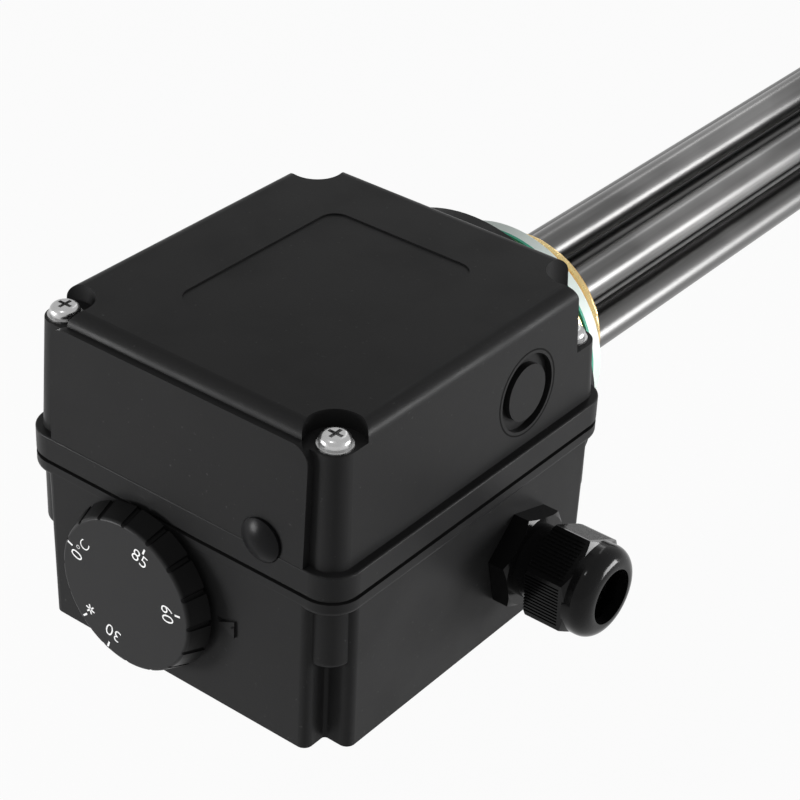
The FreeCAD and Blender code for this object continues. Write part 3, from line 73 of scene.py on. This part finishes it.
camera_data = bpy.data.cameras.new("studio_camera")
camera_data.lens = LENS
camera_data.sensor_width = SENSOR_WIDTH
camera = bpy.data.objects.new("studio_camera", camera_data)
bpy.context.scene.collection.objects.link(camera)
camera.matrix_world = (
    Matrix.Translation(VIEW_PLACE)
    @ Matrix.Rotation(math.radians(VIEW_AZIMUTH), 4, "Z")
    @ Matrix.Rotation(math.radians(90 - VIEW_ELEVATION), 4, "X")
    @ Matrix.Rotation(math.radians(VIEW_ROLL), 4, "Z"))
bpy.context.scene.camera = camera
bpy.context.scene.view_settings.view_transform = "Standard"


def softbox(name, place, target, size, watts):
    """Rectangular area lamp at place, turned to target."""
    lamp = bpy.data.lights.new(name, "AREA")
    lamp.shape = "RECTANGLE"
    lamp.size, lamp.size_y = size
    lamp.energy = watts
    lamp_object = bpy.data.objects.new(name, lamp)
    bpy.context.scene.collection.objects.link(lamp_object)
    lamp_object.location = place
    direction = Vector(target) - Vector(place)
    lamp_object.rotation_euler = direction.to_track_quat("-Z", "Y").to_euler()


softbox("front_softbox", place=(-0.82, -0.98, 0.03), target=BOX_MIDDLE, size=(0.35, 0.3), watts=13.5)
softbox("right_softbox", place=(1.0, 0.68, 0.0), target=BOX_MIDDLE, size=(0.6, 0.4), watts=17.0)
softbox("spot_softbox", place=(-0.05, -0.6, 1.05), target=BOX_MIDDLE, size=(0.12, 0.12), watts=0.9)
softbox("tube_softbox", place=(-0.44, 1.03, 0.86), target=TUBES_MIDDLE, size=(0.1, 0.9), watts=0.8)


# Backdrop: white all round, as seen by the camera and in mirrored rays, while the object itself is
# lit only weakly by it.

WORLD_STRENGTH = 0.3
WHITE_STRENGTH = 1.0

world = bpy.data.worlds.new("studio_world")
bpy.context.scene.world = world
world.use_nodes = True
world_tree = world.node_tree
background = world_tree.nodes["Background"]
background.inputs["Color"].default_value = (1.0, 1.0, 1.0, 1.0)
background.inputs["Strength"].default_value = WORLD_STRENGTH
white_backdrop = world_tree.nodes.new("ShaderNodeBackground")
white_backdrop.inputs["Strength"].default_value = WHITE_STRENGTH
ray_kind = world_tree.nodes.new("ShaderNodeLightPath")
world_mix = world_tree.nodes.new("ShaderNodeMixShader")


def seen_or_mirrored(tree, rays, share):
    """One for rays from the camera and for mirrored or transmitted ones, times share."""
    total = rays.outputs["Is Camera Ray"]
    for kind in ("Is Glossy Ray", "Is Transmission Ray"):
        larger = tree.nodes.new("ShaderNodeMath")
        larger.operation = "MAXIMUM"
        tree.links.new(total, larger.inputs[0])
        tree.links.new(rays.outputs[kind], larger.inputs[1])
        total = larger.outputs[0]
    part = tree.nodes.new("ShaderNodeMath")
    part.operation = "MULTIPLY"
    part.inputs[1].default_value = share
    tree.links.new(total, part.inputs[0])
    return part.outputs[0]


world_tree.links.new(seen_or_mirrored(world_tree, ray_kind, 1.0), world_mix.inputs[0])
world_tree.links.new(background.outputs[0], world_mix.inputs[1])
world_tree.links.new(white_backdrop.outputs[0], world_mix.inputs[2])
world_tree.links.new(world_mix.outputs[0], world_tree.nodes["World Output"].inputs["Surface"])


# Floor: a wide pale sheet under the heater, which hangs above it by its thread. It shows almost
# white and keeps a little of the object's shadow.

FLOOR_DROP = 0.12                   # metres under the object's lowest point
FLOOR_REACH = 6                     # metres to each side
FLOOR_PALE = (0.86, 0.86, 0.86, 1.0)
FLOOR_ROUGHNESS = 0.9
FLOOR_GLOW = 1.0
FLOOR_GLOW_SHARE = 0.93             # the rest of what the camera sees is the lit floor

floor_height = cad_box[0][2] - FLOOR_DROP
floor_mesh = bpy.data.meshes.new("studio_floor")
floor_mesh.from_pydata([(x * FLOOR_REACH, y * FLOOR_REACH, floor_height)
                        for x, y in ((-1, -1), (1, -1), (1, 1), (-1, 1))], [], [(0, 1, 2, 3)])
floor = bpy.data.objects.new("studio_floor", floor_mesh)
bpy.context.scene.collection.objects.link(floor)
floor_material = bpy.data.materials.new("pale_floor")
floor_material.use_nodes = True
floor_tree = floor_material.node_tree
floor_shader = floor_tree.nodes["Principled BSDF"]
floor_shader.inputs["Base Color"].default_value = FLOOR_PALE
floor_shader.inputs["Roughness"].default_value = FLOOR_ROUGHNESS
floor_glow = floor_tree.nodes.new("ShaderNodeEmission")
floor_glow.inputs["Strength"].default_value = FLOOR_GLOW
floor_ray = floor_tree.nodes.new("ShaderNodeLightPath")
floor_mix = floor_tree.nodes.new("ShaderNodeMixShader")
floor_tree.links.new(seen_or_mirrored(floor_tree, floor_ray, FLOOR_GLOW_SHARE), floor_mix.inputs[0])
floor_tree.links.new(floor_shader.outputs[0], floor_mix.inputs[1])
floor_tree.links.new(floor_glow.outputs[0], floor_mix.inputs[2])
floor_tree.links.new(floor_mix.outputs[0], floor_tree.nodes["Material Output"].inputs["Surface"])
floor_mesh.materials.append(floor_material)


# Box: the base and the lid are injection moulded in black plastic. The mould's spark-eroded grain
# shows on all faces, with a little dust. Four screws through the lid's corners hold the two together.

BOX_BLACK = (0.018, 0.018, 0.0183)
BOX_DUST = (0.045, 0.045, 0.045)
BOX_ROUGHNESS = 0.38
BOX_GRAIN = 0.00002                 # metres deep
BOX_SHINE = 0.06
DUST_SCALE = 900.0                  # noise scales are cells a metre
DUST_BAND = (0.70, 0.80)            # the noise's highest tips alone carry dust
GLOSS_SCALE = 60.0
MOULD_GRAIN_SCALE = 3500.0
LESS_ROUGH, MORE_ROUGH = 0.06, 0.08


def new_finish(name, colour, roughness, metallic=0.0):
    """A new material with its shader's fixed values set, and that shader."""
    material = bpy.data.materials.new(name)
    material.use_nodes = True
    shader = material.node_tree.nodes["Principled BSDF"]
    shader.inputs["Base Color"].default_value = (*colour, 1.0)
    shader.inputs["Roughness"].default_value = roughness
    shader.inputs["Metallic"].default_value = metallic
    return material, shader


def shader_node(tree, kind, **values):
    """Adds a shader node and sets its named properties and inputs."""
    made = tree.nodes.new(kind)
    for key, value in values.items():
        label = key.replace("_", " ").title()
        if label in made.inputs:
            made.inputs[label].default_value = value
        else:
            setattr(made, key, value)
    return made


def noise(tree, scale, detail=3.0, stretch=(1.0, 1.0, 1.0)):
    """Noise in the part's own frame, stretch times longer along each axis."""
    place = shader_node(tree, "ShaderNodeTexCoord")
    mapping = shader_node(tree, "ShaderNodeMapping")
    mapping.inputs["Scale"].default_value = [1.0 / s for s in stretch]
    texture = shader_node(tree, "ShaderNodeTexNoise", scale=scale, detail=detail)
    tree.links.new(place.outputs["Object"], mapping.inputs["Vector"])
    tree.links.new(mapping.outputs["Vector"], texture.inputs["Vector"])
    return texture.outputs["Fac"]


def ramp(tree, source, low, high, at=(0.35, 0.65)):
    """Source stretched from at[0]..at[1] onto low..high."""
    stretch = shader_node(tree, "ShaderNodeMapRange")
    stretch.inputs["From Min"].default_value = at[0]
    stretch.inputs["From Max"].default_value = at[1]
    stretch.inputs["To Min"].default_value = low
    stretch.inputs["To Max"].default_value = high
    tree.links.new(source, stretch.inputs["Value"])
    return stretch.outputs["Result"]


def tint(tree, shader, first, second, share):
    """Mixes two colours into the shader by share."""
    mix = shader_node(tree, "ShaderNodeMix", data_type="RGBA")
    mix.inputs["A"].default_value = (*first, 1.0)
    mix.inputs["B"].default_value = (*second, 1.0)
    tree.links.new(share, mix.inputs["Factor"])
    tree.links.new(mix.outputs["Result"], shader.inputs["Base Color"])


def bump(tree, shader, height, depth):
    """Lets height raise the surface by up to depth, in metres."""
    made = shader_node(tree, "ShaderNodeBump", strength=1.0)
    made.inputs["Distance"].default_value = depth
    tree.links.new(height, made.inputs["Height"])
    tree.links.new(made.outputs["Normal"], shader.inputs["Normal"])


def give_finish(name, material):
    """Gives a CAD node one material."""
    mesh = nodes[name].data
    mesh.materials.clear()
    mesh.materials.append(material)


def grained_plastic(name, colour, roughness, grain, shine):
    """Moulded plastic with uneven gloss and the mould's grain, and its shader."""
    material, shader = new_finish(name, colour, roughness)
    tree = material.node_tree
    uneven = ramp(tree, noise(tree, GLOSS_SCALE, 4.0), roughness - LESS_ROUGH, roughness + MORE_ROUGH)
    tree.links.new(uneven, shader.inputs["Roughness"])
    bump(tree, shader, noise(tree, MOULD_GRAIN_SCALE, 2.0), grain)
    shader.inputs["Specular IOR Level"].default_value = shine
    return material, shader


def dusty_plastic(name, colour, dust, roughness, grain, shine):
    """Grained plastic with fine specks of dust."""
    material, shader = grained_plastic(name, colour, roughness, grain, shine)
    specks = ramp(material.node_tree, noise(material.node_tree, DUST_SCALE, 2.0), 0.0, 1.0, DUST_BAND)
    tint(material.node_tree, shader, colour, dust, specks)
    return material


box_plastic = dusty_plastic("black_box_plastic", BOX_BLACK, BOX_DUST, BOX_ROUGHNESS, BOX_GRAIN, BOX_SHINE)
give_finish("base_box", box_plastic)
give_finish("lid", box_plastic)


# Reset cap: a small domed screw cap in a smoother, deeper black plastic, screwed into the front of
# the lid over the limiter's reset button.

CAP_BLACK = (0.008, 0.008, 0.0085)
CAP_DUST = (0.02, 0.02, 0.02)
CAP_ROUGHNESS = 0.3
CAP_GRAIN = 0.00001

cap_plastic = dusty_plastic("reset_cap_plastic", CAP_BLACK, CAP_DUST, CAP_ROUGHNESS, CAP_GRAIN, BOX_SHINE)
give_finish("reset_cap", cap_plastic)


# Seal: a soft black foam strip laid in the base's rim groove. The lid presses it down all round, so
# that no water gets into the box.

SEAL_BLACK = (0.006, 0.006, 0.006)
SEAL_ROUGHNESS = 0.9
FOAM_CELL_SCALE = 2500.0
FOAM_CELL_DEPTH = 0.0001

seal_rubber, seal_shader = new_finish("foam_seal", SEAL_BLACK, SEAL_ROUGHNESS)
bump(seal_rubber.node_tree, seal_shader, noise(seal_rubber.node_tree, FOAM_CELL_SCALE), FOAM_CELL_DEPTH)
give_finish("lid_seal", seal_rubber)


# Fasteners: steel pan head screws with plain washers under them, cold headed and zinc plated, and
# the other plated steel pieces, such as the limiter's folded bracket and the pins of the tubes.

ZINC_GREY = (0.5, 0.5, 0.5)
ZINC_ROUGHNESS = 0.26
METAL_GLOSS_SCALE = 800.0
METAL_GRAIN_SCALE = 1500.0
METAL_GRAIN = 0.00001
METAL_LESS_ROUGH = 0.05


def bare_metal(name, colour, roughness):
    """Metal with uneven gloss and a very fine surface."""
    material, shader = new_finish(name, colour, roughness, 1.0)
    tree = material.node_tree
    uneven = ramp(tree, noise(tree, METAL_GLOSS_SCALE, 3.0),
                  roughness - METAL_LESS_ROUGH, roughness + MORE_ROUGH)
    tree.links.new(uneven, shader.inputs["Roughness"])
    bump(tree, shader, noise(tree, METAL_GRAIN_SCALE), METAL_GRAIN)
    return material


zinc = bare_metal("bright_zinc", ZINC_GREY, ZINC_ROUGHNESS)
for name in ("lid_screws", "lid_washers", "thermostat_screws", "bracket_screws", "block_screws",
             "terminal_screws", "plug_screws", "terminal_pins", "thermostat_spindle", "limiter_bracket",
             "limiter_nut"):
    give_finish(name, zinc)


# Control knob: one black moulding with sixteen grip lobes, pushed onto the switch's spindle. Its
# face is pad printed in white. Behind the face the colour is made much darker: painted shade for the shade
# and dark reflections on the grip's sides.

MM = 0.001
KNOB_X = -8.4 * MM
KNOB_Z = -14.3 * MM
KNOB_BLACK = (0.022, 0.022, 0.0225)
KNOB_ROUGHNESS = 0.36
KNOB_GRAIN = 0.00001
KNOB_SHINE = 0.08
FACE_BLACK = (0.025, 0.025, 0.0255)
GRIP_PAINTED_SHADE = (0.0025, 0.0025, 0.0026)
FACE_DEPTH = (0.2 * MM, 0.9 * MM)   # the face's black gives way to the grip's painted shade over this depth
knob_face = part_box("control_knob")[0].y

knob_plastic, knob_shader = grained_plastic("knob_plastic", KNOB_BLACK, KNOB_ROUGHNESS,
                                            KNOB_GRAIN, KNOB_SHINE)
knob_tree = knob_plastic.node_tree
depth_axis = shader_node(knob_tree, "ShaderNodeSeparateXYZ")
knob_place = shader_node(knob_tree, "ShaderNodeTexCoord")
knob_tree.links.new(knob_place.outputs["Object"], depth_axis.inputs["Vector"])
# Painted shade: behind the face the grip is coloured near black, standing in for the shade and dark
# reflections on its sides.
grip_shade_share = ramp(knob_tree, depth_axis.outputs["Y"], 0.0, 1.0, [knob_face + d for d in FACE_DEPTH])
tint(knob_tree, knob_shader, FACE_BLACK, GRIP_PAINTED_SHADE, grip_shade_share)
give_finish("control_knob", knob_plastic)


# Print: the dial's figures, ticks and six-armed star in white ink, a thin raised film on the face.
# The figures stand upright when they are turned to the top.

PRINT_WHITE = (0.86, 0.86, 0.86)
PRINT_ROUGHNESS = 0.5
INK_SCALE = 4000.0
INK_DEPTH = 0.00002
PRINT_THICK = 0.05 * MM
INK_THINNING = -0.05 * MM           # drawn in from the letters' outline
CAPITAL_SHARE = 0.7                 # of the letters' size, the height of a figure
FIGURE_HEIGHT = 3.5 * MM
TICK_LENGTH = 1.6 * MM
TICK_WIDTH = 0.5 * MM
STAR_LENGTH = 2.8 * MM
STAR_WIDTH = 0.4 * MM
STAR_ANGLE = -130.9
STAR_RADIUS = 16.2 * MM
FACE_SCALE = 0.92                   # brings the measured radii in onto the knob's flat face

white_print, white_shader = new_finish("white_print", PRINT_WHITE, PRINT_ROUGHNESS)
bump(white_print.node_tree, white_shader, noise(white_print.node_tree, INK_SCALE), INK_DEPTH)


def on_dial(angle, radius):
    """Frame of a mark on the knob's face: angle runs clockwise from the top, up points outward."""
    turn = math.radians(angle)
    across = Vector((math.cos(turn), 0, -math.sin(turn)))
    outward = Vector((math.sin(turn), 0, math.cos(turn)))
    normal = Vector((0, -1, 0))
    frame_of_mark = Matrix((across, outward, normal)).transposed().to_4x4()
    frame_of_mark.translation = Vector((KNOB_X, knob_face, KNOB_Z)) + outward * radius * FACE_SCALE
    return frame_of_mark


def printed(name, text, angle, radius, height=FIGURE_HEIGHT):
    """Printed text on the knob's face."""
    letters = bpy.data.curves.new(name, "FONT")
    letters.body = text
    letters.size = height / CAPITAL_SHARE
    letters.align_x = "CENTER"
    letters.align_y = "CENTER"
    letters.extrude = PRINT_THICK
    letters.offset = INK_THINNING
    letters.materials.append(white_print)
    mark = bpy.data.objects.new(name, letters)
    bpy.context.scene.collection.objects.link(mark)
    mark.matrix_world = on_dial(angle, radius)
    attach(mark, "knob")


def tick(name, angle, radius, length=TICK_LENGTH, width=TICK_WIDTH, turn=0.0):
    """Printed stroke on the knob's face, turned about its own middle."""
    place = on_dial(angle, radius) @ Matrix.Rotation(math.radians(turn), 4, "Z")
    x = width / 2
    y = length / 2
    corners = [place @ Vector((sx, sy, sz)) for sz in (-PRINT_THICK, PRINT_THICK)
               for sx, sy in ((-x, -y), (x, -y), (x, y), (-x, y))]
    mesh = bpy.data.meshes.new(name)
    mesh.from_pydata(corners, [], [(0, 1, 2, 3), (4, 5, 6, 7), (0, 1, 5, 4), (1, 2, 6, 5), (2, 3, 7, 6),
                                   (3, 0, 4, 7)])
    mesh.materials.append(white_print)
    mark = bpy.data.objects.new(name, mesh)
    bpy.context.scene.collection.objects.link(mark)
    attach(mark, "knob")


printed("figure_85", "85", angle=21.8, radius=15.2 * MM)
printed("figure_60", "60", angle=83.9, radius=14.5 * MM)
printed("figure_30", "30", angle=-163.0, radius=14.6 * MM)
printed("figure_0", "0", angle=-74.0, radius=16.8 * MM)
printed("figure_degrees", "\u00b0C", angle=-59.5, radius=16.0 * MM, height=2.9 * MM)
tick("tick_85", angle=22.7, radius=18.4 * MM)
tick("tick_60", angle=81.5, radius=18.2 * MM)
tick("tick_30", angle=-161.8, radius=19.6 * MM)
tick("tick_frost", angle=-133.1, radius=19.4 * MM)
tick("tick_0", angle=-68.7, radius=19.9 * MM)
for turn in (0, 60, 120):
    tick("frost_star_%d" % turn, STAR_ANGLE, STAR_RADIUS, STAR_LENGTH, STAR_WIDTH, turn)


# Index mark: a short angled groove moulded into the base's front beside the knob, against which the
# figures are read. The groove is not modelled: a near-black film laid on the flat wall is painted shade
# standing in for the shade in it.

# Colour of the painted shade film.
PAINTED_SHADE_BLACK = (0.002, 0.002, 0.002)
GROOVE_ROUGHNESS = 0.8
GROOVE_SHINE = 0.1
GROOVE_GRAIN_SCALE = 3000.0
GROOVE_GRAIN = 0.00001
DROP_HEIGHT = 0.05                  # metres from which a point falls onto the wall
MARK_START = -0.14                  # in front of the wall, y in metres
MARK_OUTLINE = [(13.6, -14.1), (13.6, -13.3), (19.1, -13.3), (18.4, -14.1), (19.1, -16.5), (18.4, -16.5)]
MARK_FACES = [(1, 2, 3, 0), (2, 4, 5, 3)]


def lay_on(name, host, points, faces, normal, material, body):
    """Thin piece whose points are dropped onto host's surface along normal, and stand a film proud."""
    bm = bmesh.new()
    bm.from_mesh(nodes[host].data)
    tree = BVHTree.FromBMesh(bm)
    bm.free()
    mesh_points = []
    for level in (-PRINT_THICK, PRINT_THICK):
        for point in points:
            start = Vector(point) + Vector(normal) * DROP_HEIGHT
            hit = tree.ray_cast(start, -Vector(normal))[0]
            mesh_points.append(hit + Vector(normal) * level)
    count = len(points)
    mesh = bpy.data.meshes.new(name)
    below = [tuple(reversed(face)) for face in faces]
    above = [tuple(i + count for i in face) for face in faces]
    edge_use = {}
    for face in faces:
        for a, b in zip(face, face[1:] + face[:1]):
            edge_use[(a, b)] = True
    rim = [(a, b, b + count, a + count) for a, b in edge_use if (b, a) not in edge_use]
    mesh.from_pydata(mesh_points, [], below + above + rim)
    mesh.materials.append(material)
    piece = bpy.data.objects.new(name, mesh)
    bpy.context.scene.collection.objects.link(piece)
    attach(piece, body)


# Painted shade: a near-black film for the shade in the index groove and along the knock-out's fine edge.
painted_shade_film, shade_film_shader = new_finish("groove_shadow", PAINTED_SHADE_BLACK, GROOVE_ROUGHNESS)
bump(painted_shade_film.node_tree, shade_film_shader, noise(painted_shade_film.node_tree, GROOVE_GRAIN_SCALE), GROOVE_GRAIN)
shade_film_shader.inputs["Specular IOR Level"].default_value = GROOVE_SHINE

lay_on("index_mark", "base_box", [(x * MM, MARK_START, z * MM) for x, z in MARK_OUTLINE],
       MARK_FACES, (0, -1, 0), painted_shade_film, "base")


# Knock-out line: the fine edge of the thin ring round the knock-out's groove in the lid's right
# wall, where the plastic gives way when a second cable entry is opened. The edge is not modelled: a thin
# near-black ring laid on the wall is painted shade along it.

DISC_Y = -55.9 * MM
DISC_Z = 26.0 * MM
LINE_START = 0.06                   # outside the wall, x in metres
LINE_RADII = (10.55 * MM, 10.95 * MM)
LINE_STEPS = 96

line_points = []
for radius in LINE_RADII:
    for k in range(LINE_STEPS):
        turn = 2 * math.pi * k / LINE_STEPS
        line_points.append((LINE_START, DISC_Y + radius * math.cos(turn), DISC_Z + radius * math.sin(turn)))
line_faces = []
for k in range(LINE_STEPS):
    n = (k + 1) % LINE_STEPS
    line_faces.append((k, LINE_STEPS + k, LINE_STEPS + n, n))
# Painted shade along the ring's edge, in the same film as the index mark.
lay_on("knockout_line", "lid", line_points, line_faces, (1, 0, 0), painted_shade_film, "lid")


# Cable gland: body, dome nut, locknut and claw cage are moulded in glossy black nylon. The nut
# presses the claws and the rubber seal inside them round the cable.

NYLON_BLACK = (0.006, 0.006, 0.0062)
NYLON_ROUGHNESS = 0.14
NYLON_SHINE = 0.14
NYLON_RIPPLE_SCALE = 500.0
NYLON_RIPPLE = 0.00002

nylon, nylon_shader = new_finish("gland_nylon", NYLON_BLACK, NYLON_ROUGHNESS)
bump(nylon.node_tree, nylon_shader, noise(nylon.node_tree, NYLON_RIPPLE_SCALE, 2.0), NYLON_RIPPLE)
nylon_shader.inputs["Specular IOR Level"].default_value = NYLON_SHINE
for name in ("gland_body", "gland_dome_nut", "gland_locknut", "gland_claw"):
    give_finish(name, nylon)
give_finish("gland_seal", seal_rubber)


# Screw plug: turned from brass bar, with a collar and a pipe thread cut on it that holds the heater
# in the tank's wall. The box's back plate is screwed on behind it. The other brass pieces are here too.

BRASS_YELLOW = (0.80, 0.60, 0.30)
BRASS_ROUGHNESS = 0.28
THREAD_RADIUS = 23.9 * MM
THREAD_DEPTH = 1.35 * MM
THREAD_PITCH = 2.309 * MM
THREAD_FLANK = 2.4                  # slope of the flanks, in thread depths a pitch
THREAD_ROOT = 0.1                   # taken off the flanks' foot, so that the root is flat
PLUG_END = 9.5 * MM                 # the solid's thread, which the photo shows a little longer
THREAD_TAIL = 10.0 * MM             # from here the thread is chamfered down to its end
THREAD_END = 11.5 * MM
THREAD_START_RADIUS = 22.9 * MM
THREAD_STEPS = 120
THREAD_ROWS = 92
PLAIN_BAND = 1.6 * MM               # the solid's plain cylinder and chamfer lie this near the crests
END_BAND = 0.1 * MM

brass = bare_metal("turned_brass", BRASS_YELLOW, BRASS_ROUGHNESS)
for name in ("screw_plug", "base_inserts", "pin_nuts", "star_link", "earth_stud", "earth_nuts",
             "earth_washer", "terminal_clamps", "thermostat_terminals", "limiter_terminals"):
    give_finish(name, brass)

bm = bmesh.new()
bm.from_mesh(nodes["screw_plug"].data)
plain_thread = [face for face in bm.faces
                if all(v.co.y > -1e-6 and math.hypot(v.co.x, v.co.z) > THREAD_RADIUS - PLAIN_BAND
                       for v in face.verts)]
bmesh.ops.delete(bm, geom=plain_thread, context="FACES")
for vert in bm.verts:
    if vert.co.y > PLUG_END - END_BAND:
        vert.co.y += THREAD_END - PLUG_END
rows = []
for j in range(THREAD_ROWS + 1):
    y = THREAD_END * j / THREAD_ROWS
    limit = THREAD_RADIUS - max(0.0, y - THREAD_TAIL)
    row = []
    for k in range(THREAD_STEPS):
        turn = 2 * math.pi * k / THREAD_STEPS
        phase = (y / THREAD_PITCH - k / THREAD_STEPS) % 1.0
        wave = min(1.0, max(0.0, THREAD_FLANK * abs(phase - 0.5) - THREAD_ROOT))
        radius = min(limit, THREAD_RADIUS - THREAD_DEPTH * (1.0 - wave))
        if j == 0:
            radius = THREAD_START_RADIUS
        if j == THREAD_ROWS:
            radius = limit
        row.append(bm.verts.new((radius * math.cos(turn), y, radius * math.sin(turn))))
    rows.append(row)
for low, high in zip(rows, rows[1:]):
    for k in range(THREAD_STEPS):
        n = (k + 1) % THREAD_STEPS
        bm.faces.new((low[k], high[k], high[n], low[n]))
plug_mesh = bpy.data.meshes.new("threaded_plug")
bm.to_mesh(plug_mesh)
bm.free()
plug_mesh.materials.clear()
plug_mesh.materials.append(brass)
threaded_plug = bpy.data.objects.new("threaded_plug", plug_mesh)
bpy.context.scene.collection.objects.link(threaded_plug)
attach(threaded_plug, "base")
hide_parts("screw_plug")


# Gasket and backing ring: a soft white flat gasket seals the plug's collar on the tank, and a thin
# ring of green fibre lies beside it.

GASKET_WHITE = (0.70, 0.78, 0.74)
GASKET_ROUGHNESS = 0.45
GASKET_DENT_SCALE = 700.0
FIBRE_GREEN = (0.02, 0.33, 0.21)
FIBRE_ROUGHNESS = 0.6
FIBRE_SCALE = 1500.0
SHEET_DEPTH = 0.00005

gasket_white, gasket_shader = new_finish("gasket_white", GASKET_WHITE, GASKET_ROUGHNESS)
bump(gasket_white.node_tree, gasket_shader, noise(gasket_white.node_tree, GASKET_DENT_SCALE), SHEET_DEPTH)
give_finish("flat_gasket", gasket_white)
ring_green, green_shader = new_finish("fibre_green", FIBRE_GREEN, FIBRE_ROUGHNESS)
bump(ring_green.node_tree, green_shader, noise(ring_green.node_tree, FIBRE_SCALE), SHEET_DEPTH)
give_finish("backing_ring", ring_green)


# Heating tubes and sensor wells: drawn stainless tube with streaks along it and paler blotches. The
# heating tubes are bent to a U and packed with powder round their wire; the wells end closed.

STEEL_DARK = (0.12, 0.119, 0.118)
BLOTCH_BRIGHTER = 2.2               # times the steel's colour
STEEL_ROUGHNESS = 0.32
STREAK_SCALE = 420.0
STREAK_STRETCH = (1.0, 90.0, 1.0)
STREAK_DETAIL = 4.0
STREAK_SHARE = 0.12
STREAK_DEPTH = 0.000003
BLOTCH_SCALE = 38.0
BLOTCH_STRETCH = (1.0, 3.0, 1.0)
BLOTCH_SHARE = 0.7
BLOTCH_BAND = (0.52, 0.70)
STREAK_SMOOTHER, STREAK_ROUGHER = 0.03, 0.05

stainless, steel_shader = new_finish("drawn_stainless", STEEL_DARK, STEEL_ROUGHNESS, 1.0)
steel_tree = stainless.node_tree
streaks = noise(steel_tree, STREAK_SCALE, STREAK_DETAIL, STREAK_STRETCH)
blotches = noise(steel_tree, BLOTCH_SCALE, 3.0, BLOTCH_STRETCH)
worn = shader_node(steel_tree, "ShaderNodeMath", operation="ADD")
steel_tree.links.new(ramp(steel_tree, blotches, 0.0, BLOTCH_SHARE, BLOTCH_BAND), worn.inputs[0])
steel_tree.links.new(ramp(steel_tree, streaks, -STREAK_SHARE, STREAK_SHARE), worn.inputs[1])
tint(steel_tree, steel_shader, STEEL_DARK, [c * BLOTCH_BRIGHTER for c in STEEL_DARK], worn.outputs[0])
uneven = ramp(steel_tree, streaks, STEEL_ROUGHNESS - STREAK_SMOOTHER, STEEL_ROUGHNESS + STREAK_ROUGHER)
steel_tree.links.new(uneven, steel_shader.inputs["Roughness"])
bump(steel_tree, steel_shader, streaks, STREAK_DEPTH)
for name in ("heating_element_1", "heating_element_2", "heating_element_3", "thermostat_well",
             "limiter_well"):
    give_finish(name, stainless)


# Braze: a hollow fillet of silver braze round each tube and well, where it runs through the plug's
# tank side.

BRAZE_PALE = (0.62, 0.58, 0.48)
BRAZE_ROUGHNESS = 0.35
LEG_PITCH = 14.6 * MM
LEG_ANGLE = 41.0                    # degrees, of the first of six legs
LEG_STEP = 60.0
LEG_RADIUS = 5.0 * MM
WELL_PITCH = 4.2 * MM
WELL_ANGLES = (-43.3, 136.7)
WELL_RADIUS = 4.0 * MM
BRAZE = 0.8 * MM                    # reach on the plug
BRAZE_WAIST = 0.35                  # both offsets of the fillet's hollow, times its reach
BRAZE_CLIMB = 1.2                   # height on the tube, times its reach
BRAZE_SUNK = 0.1 * MM               # its back lies inside the tube's wall
BRAZE_EDGE = 0.05 * MM
BRAZE_STEPS = 40

legs = [(LEG_PITCH, LEG_ANGLE + LEG_STEP * k, LEG_RADIUS) for k in range(6)]
wells = [(WELL_PITCH, angle, WELL_RADIUS) for angle in WELL_ANGLES]
bm = bmesh.new()
for pitch, angle, tube in legs + wells:
    x = pitch * math.cos(math.radians(angle))
    z = pitch * math.sin(math.radians(angle))
    profile = [(tube - BRAZE_SUNK, 0.0), (tube + BRAZE, 0.0),
               (tube + BRAZE_WAIST * BRAZE, BRAZE_WAIST * BRAZE),
               (tube + BRAZE_EDGE, BRAZE_CLIMB * BRAZE), (tube - BRAZE_SUNK, BRAZE_CLIMB * BRAZE)]
    rings = []
    for r, y in profile:
        ring = []
        for k in range(BRAZE_STEPS):
            turn = 2 * math.pi * k / BRAZE_STEPS
            ring.append(bm.verts.new((x + r * math.cos(turn), THREAD_END + y, z + r * math.sin(turn))))
        rings.append(ring)
    for one, two in zip(rings, rings[1:] + rings[:1]):
        for k in range(BRAZE_STEPS):
            n = (k + 1) % BRAZE_STEPS
            bm.faces.new((one[k], two[k], two[n], one[n]))
braze_mesh = bpy.data.meshes.new("braze_rings")
bm.to_mesh(braze_mesh)
bm.free()
silver_braze = bare_metal("silver_braze", BRAZE_PALE, BRAZE_ROUGHNESS)
braze_mesh.materials.append(silver_braze)
braze_rings = bpy.data.objects.new("braze_rings", braze_mesh)
bpy.context.scene.collection.objects.link(braze_rings)
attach(braze_rings, "base")


# Capillaries and bulbs: fine drawn copper tube, filled with liquid, from each switch through the
# plug to the bulb in its well.

COPPER_RED = (0.72, 0.42, 0.28)
COPPER_ROUGHNESS = 0.3

copper = bare_metal("copper_tube", COPPER_RED, COPPER_ROUGHNESS)
for name in ("thermostat_capillary", "thermostat_bulb", "limiter_capillary", "limiter_bulb"):
    give_finish(name, copper)


# Switches and terminal block: the thermostat, the safety limiter with its button, and the block are
# pressed from ivory thermoset with little gloss, and screwed inside the base.

IVORY = (0.62, 0.58, 0.48)
IVORY_DUST = (0.5, 0.46, 0.38)
IVORY_ROUGHNESS = 0.45
IVORY_GRAIN = 0.00002
IVORY_SHINE = 0.12

ivory = dusty_plastic("ivory_thermoset", IVORY, IVORY_DUST, IVORY_ROUGHNESS, IVORY_GRAIN, IVORY_SHINE)
for name in ("thermostat_body", "limiter_body", "limiter_button", "terminal_block"):
    give_finish(name, ivory)


# Insulators: small sintered ceramic beads on the pins, where they leave the tubes. They keep the
# live pins off the tubes' metal.

BEAD_WHITE = (0.78, 0.75, 0.68)
BEAD_ROUGHNESS = 0.6
BEAD_SCALE = 2000.0
BEAD_DEPTH = 0.00003

bead_white, bead_shader = new_finish("ceramic_bead", BEAD_WHITE, BEAD_ROUGHNESS)
bump(bead_white.node_tree, bead_shader, noise(bead_white.node_tree, BEAD_SCALE), BEAD_DEPTH)
give_finish("pin_insulators", bead_white)
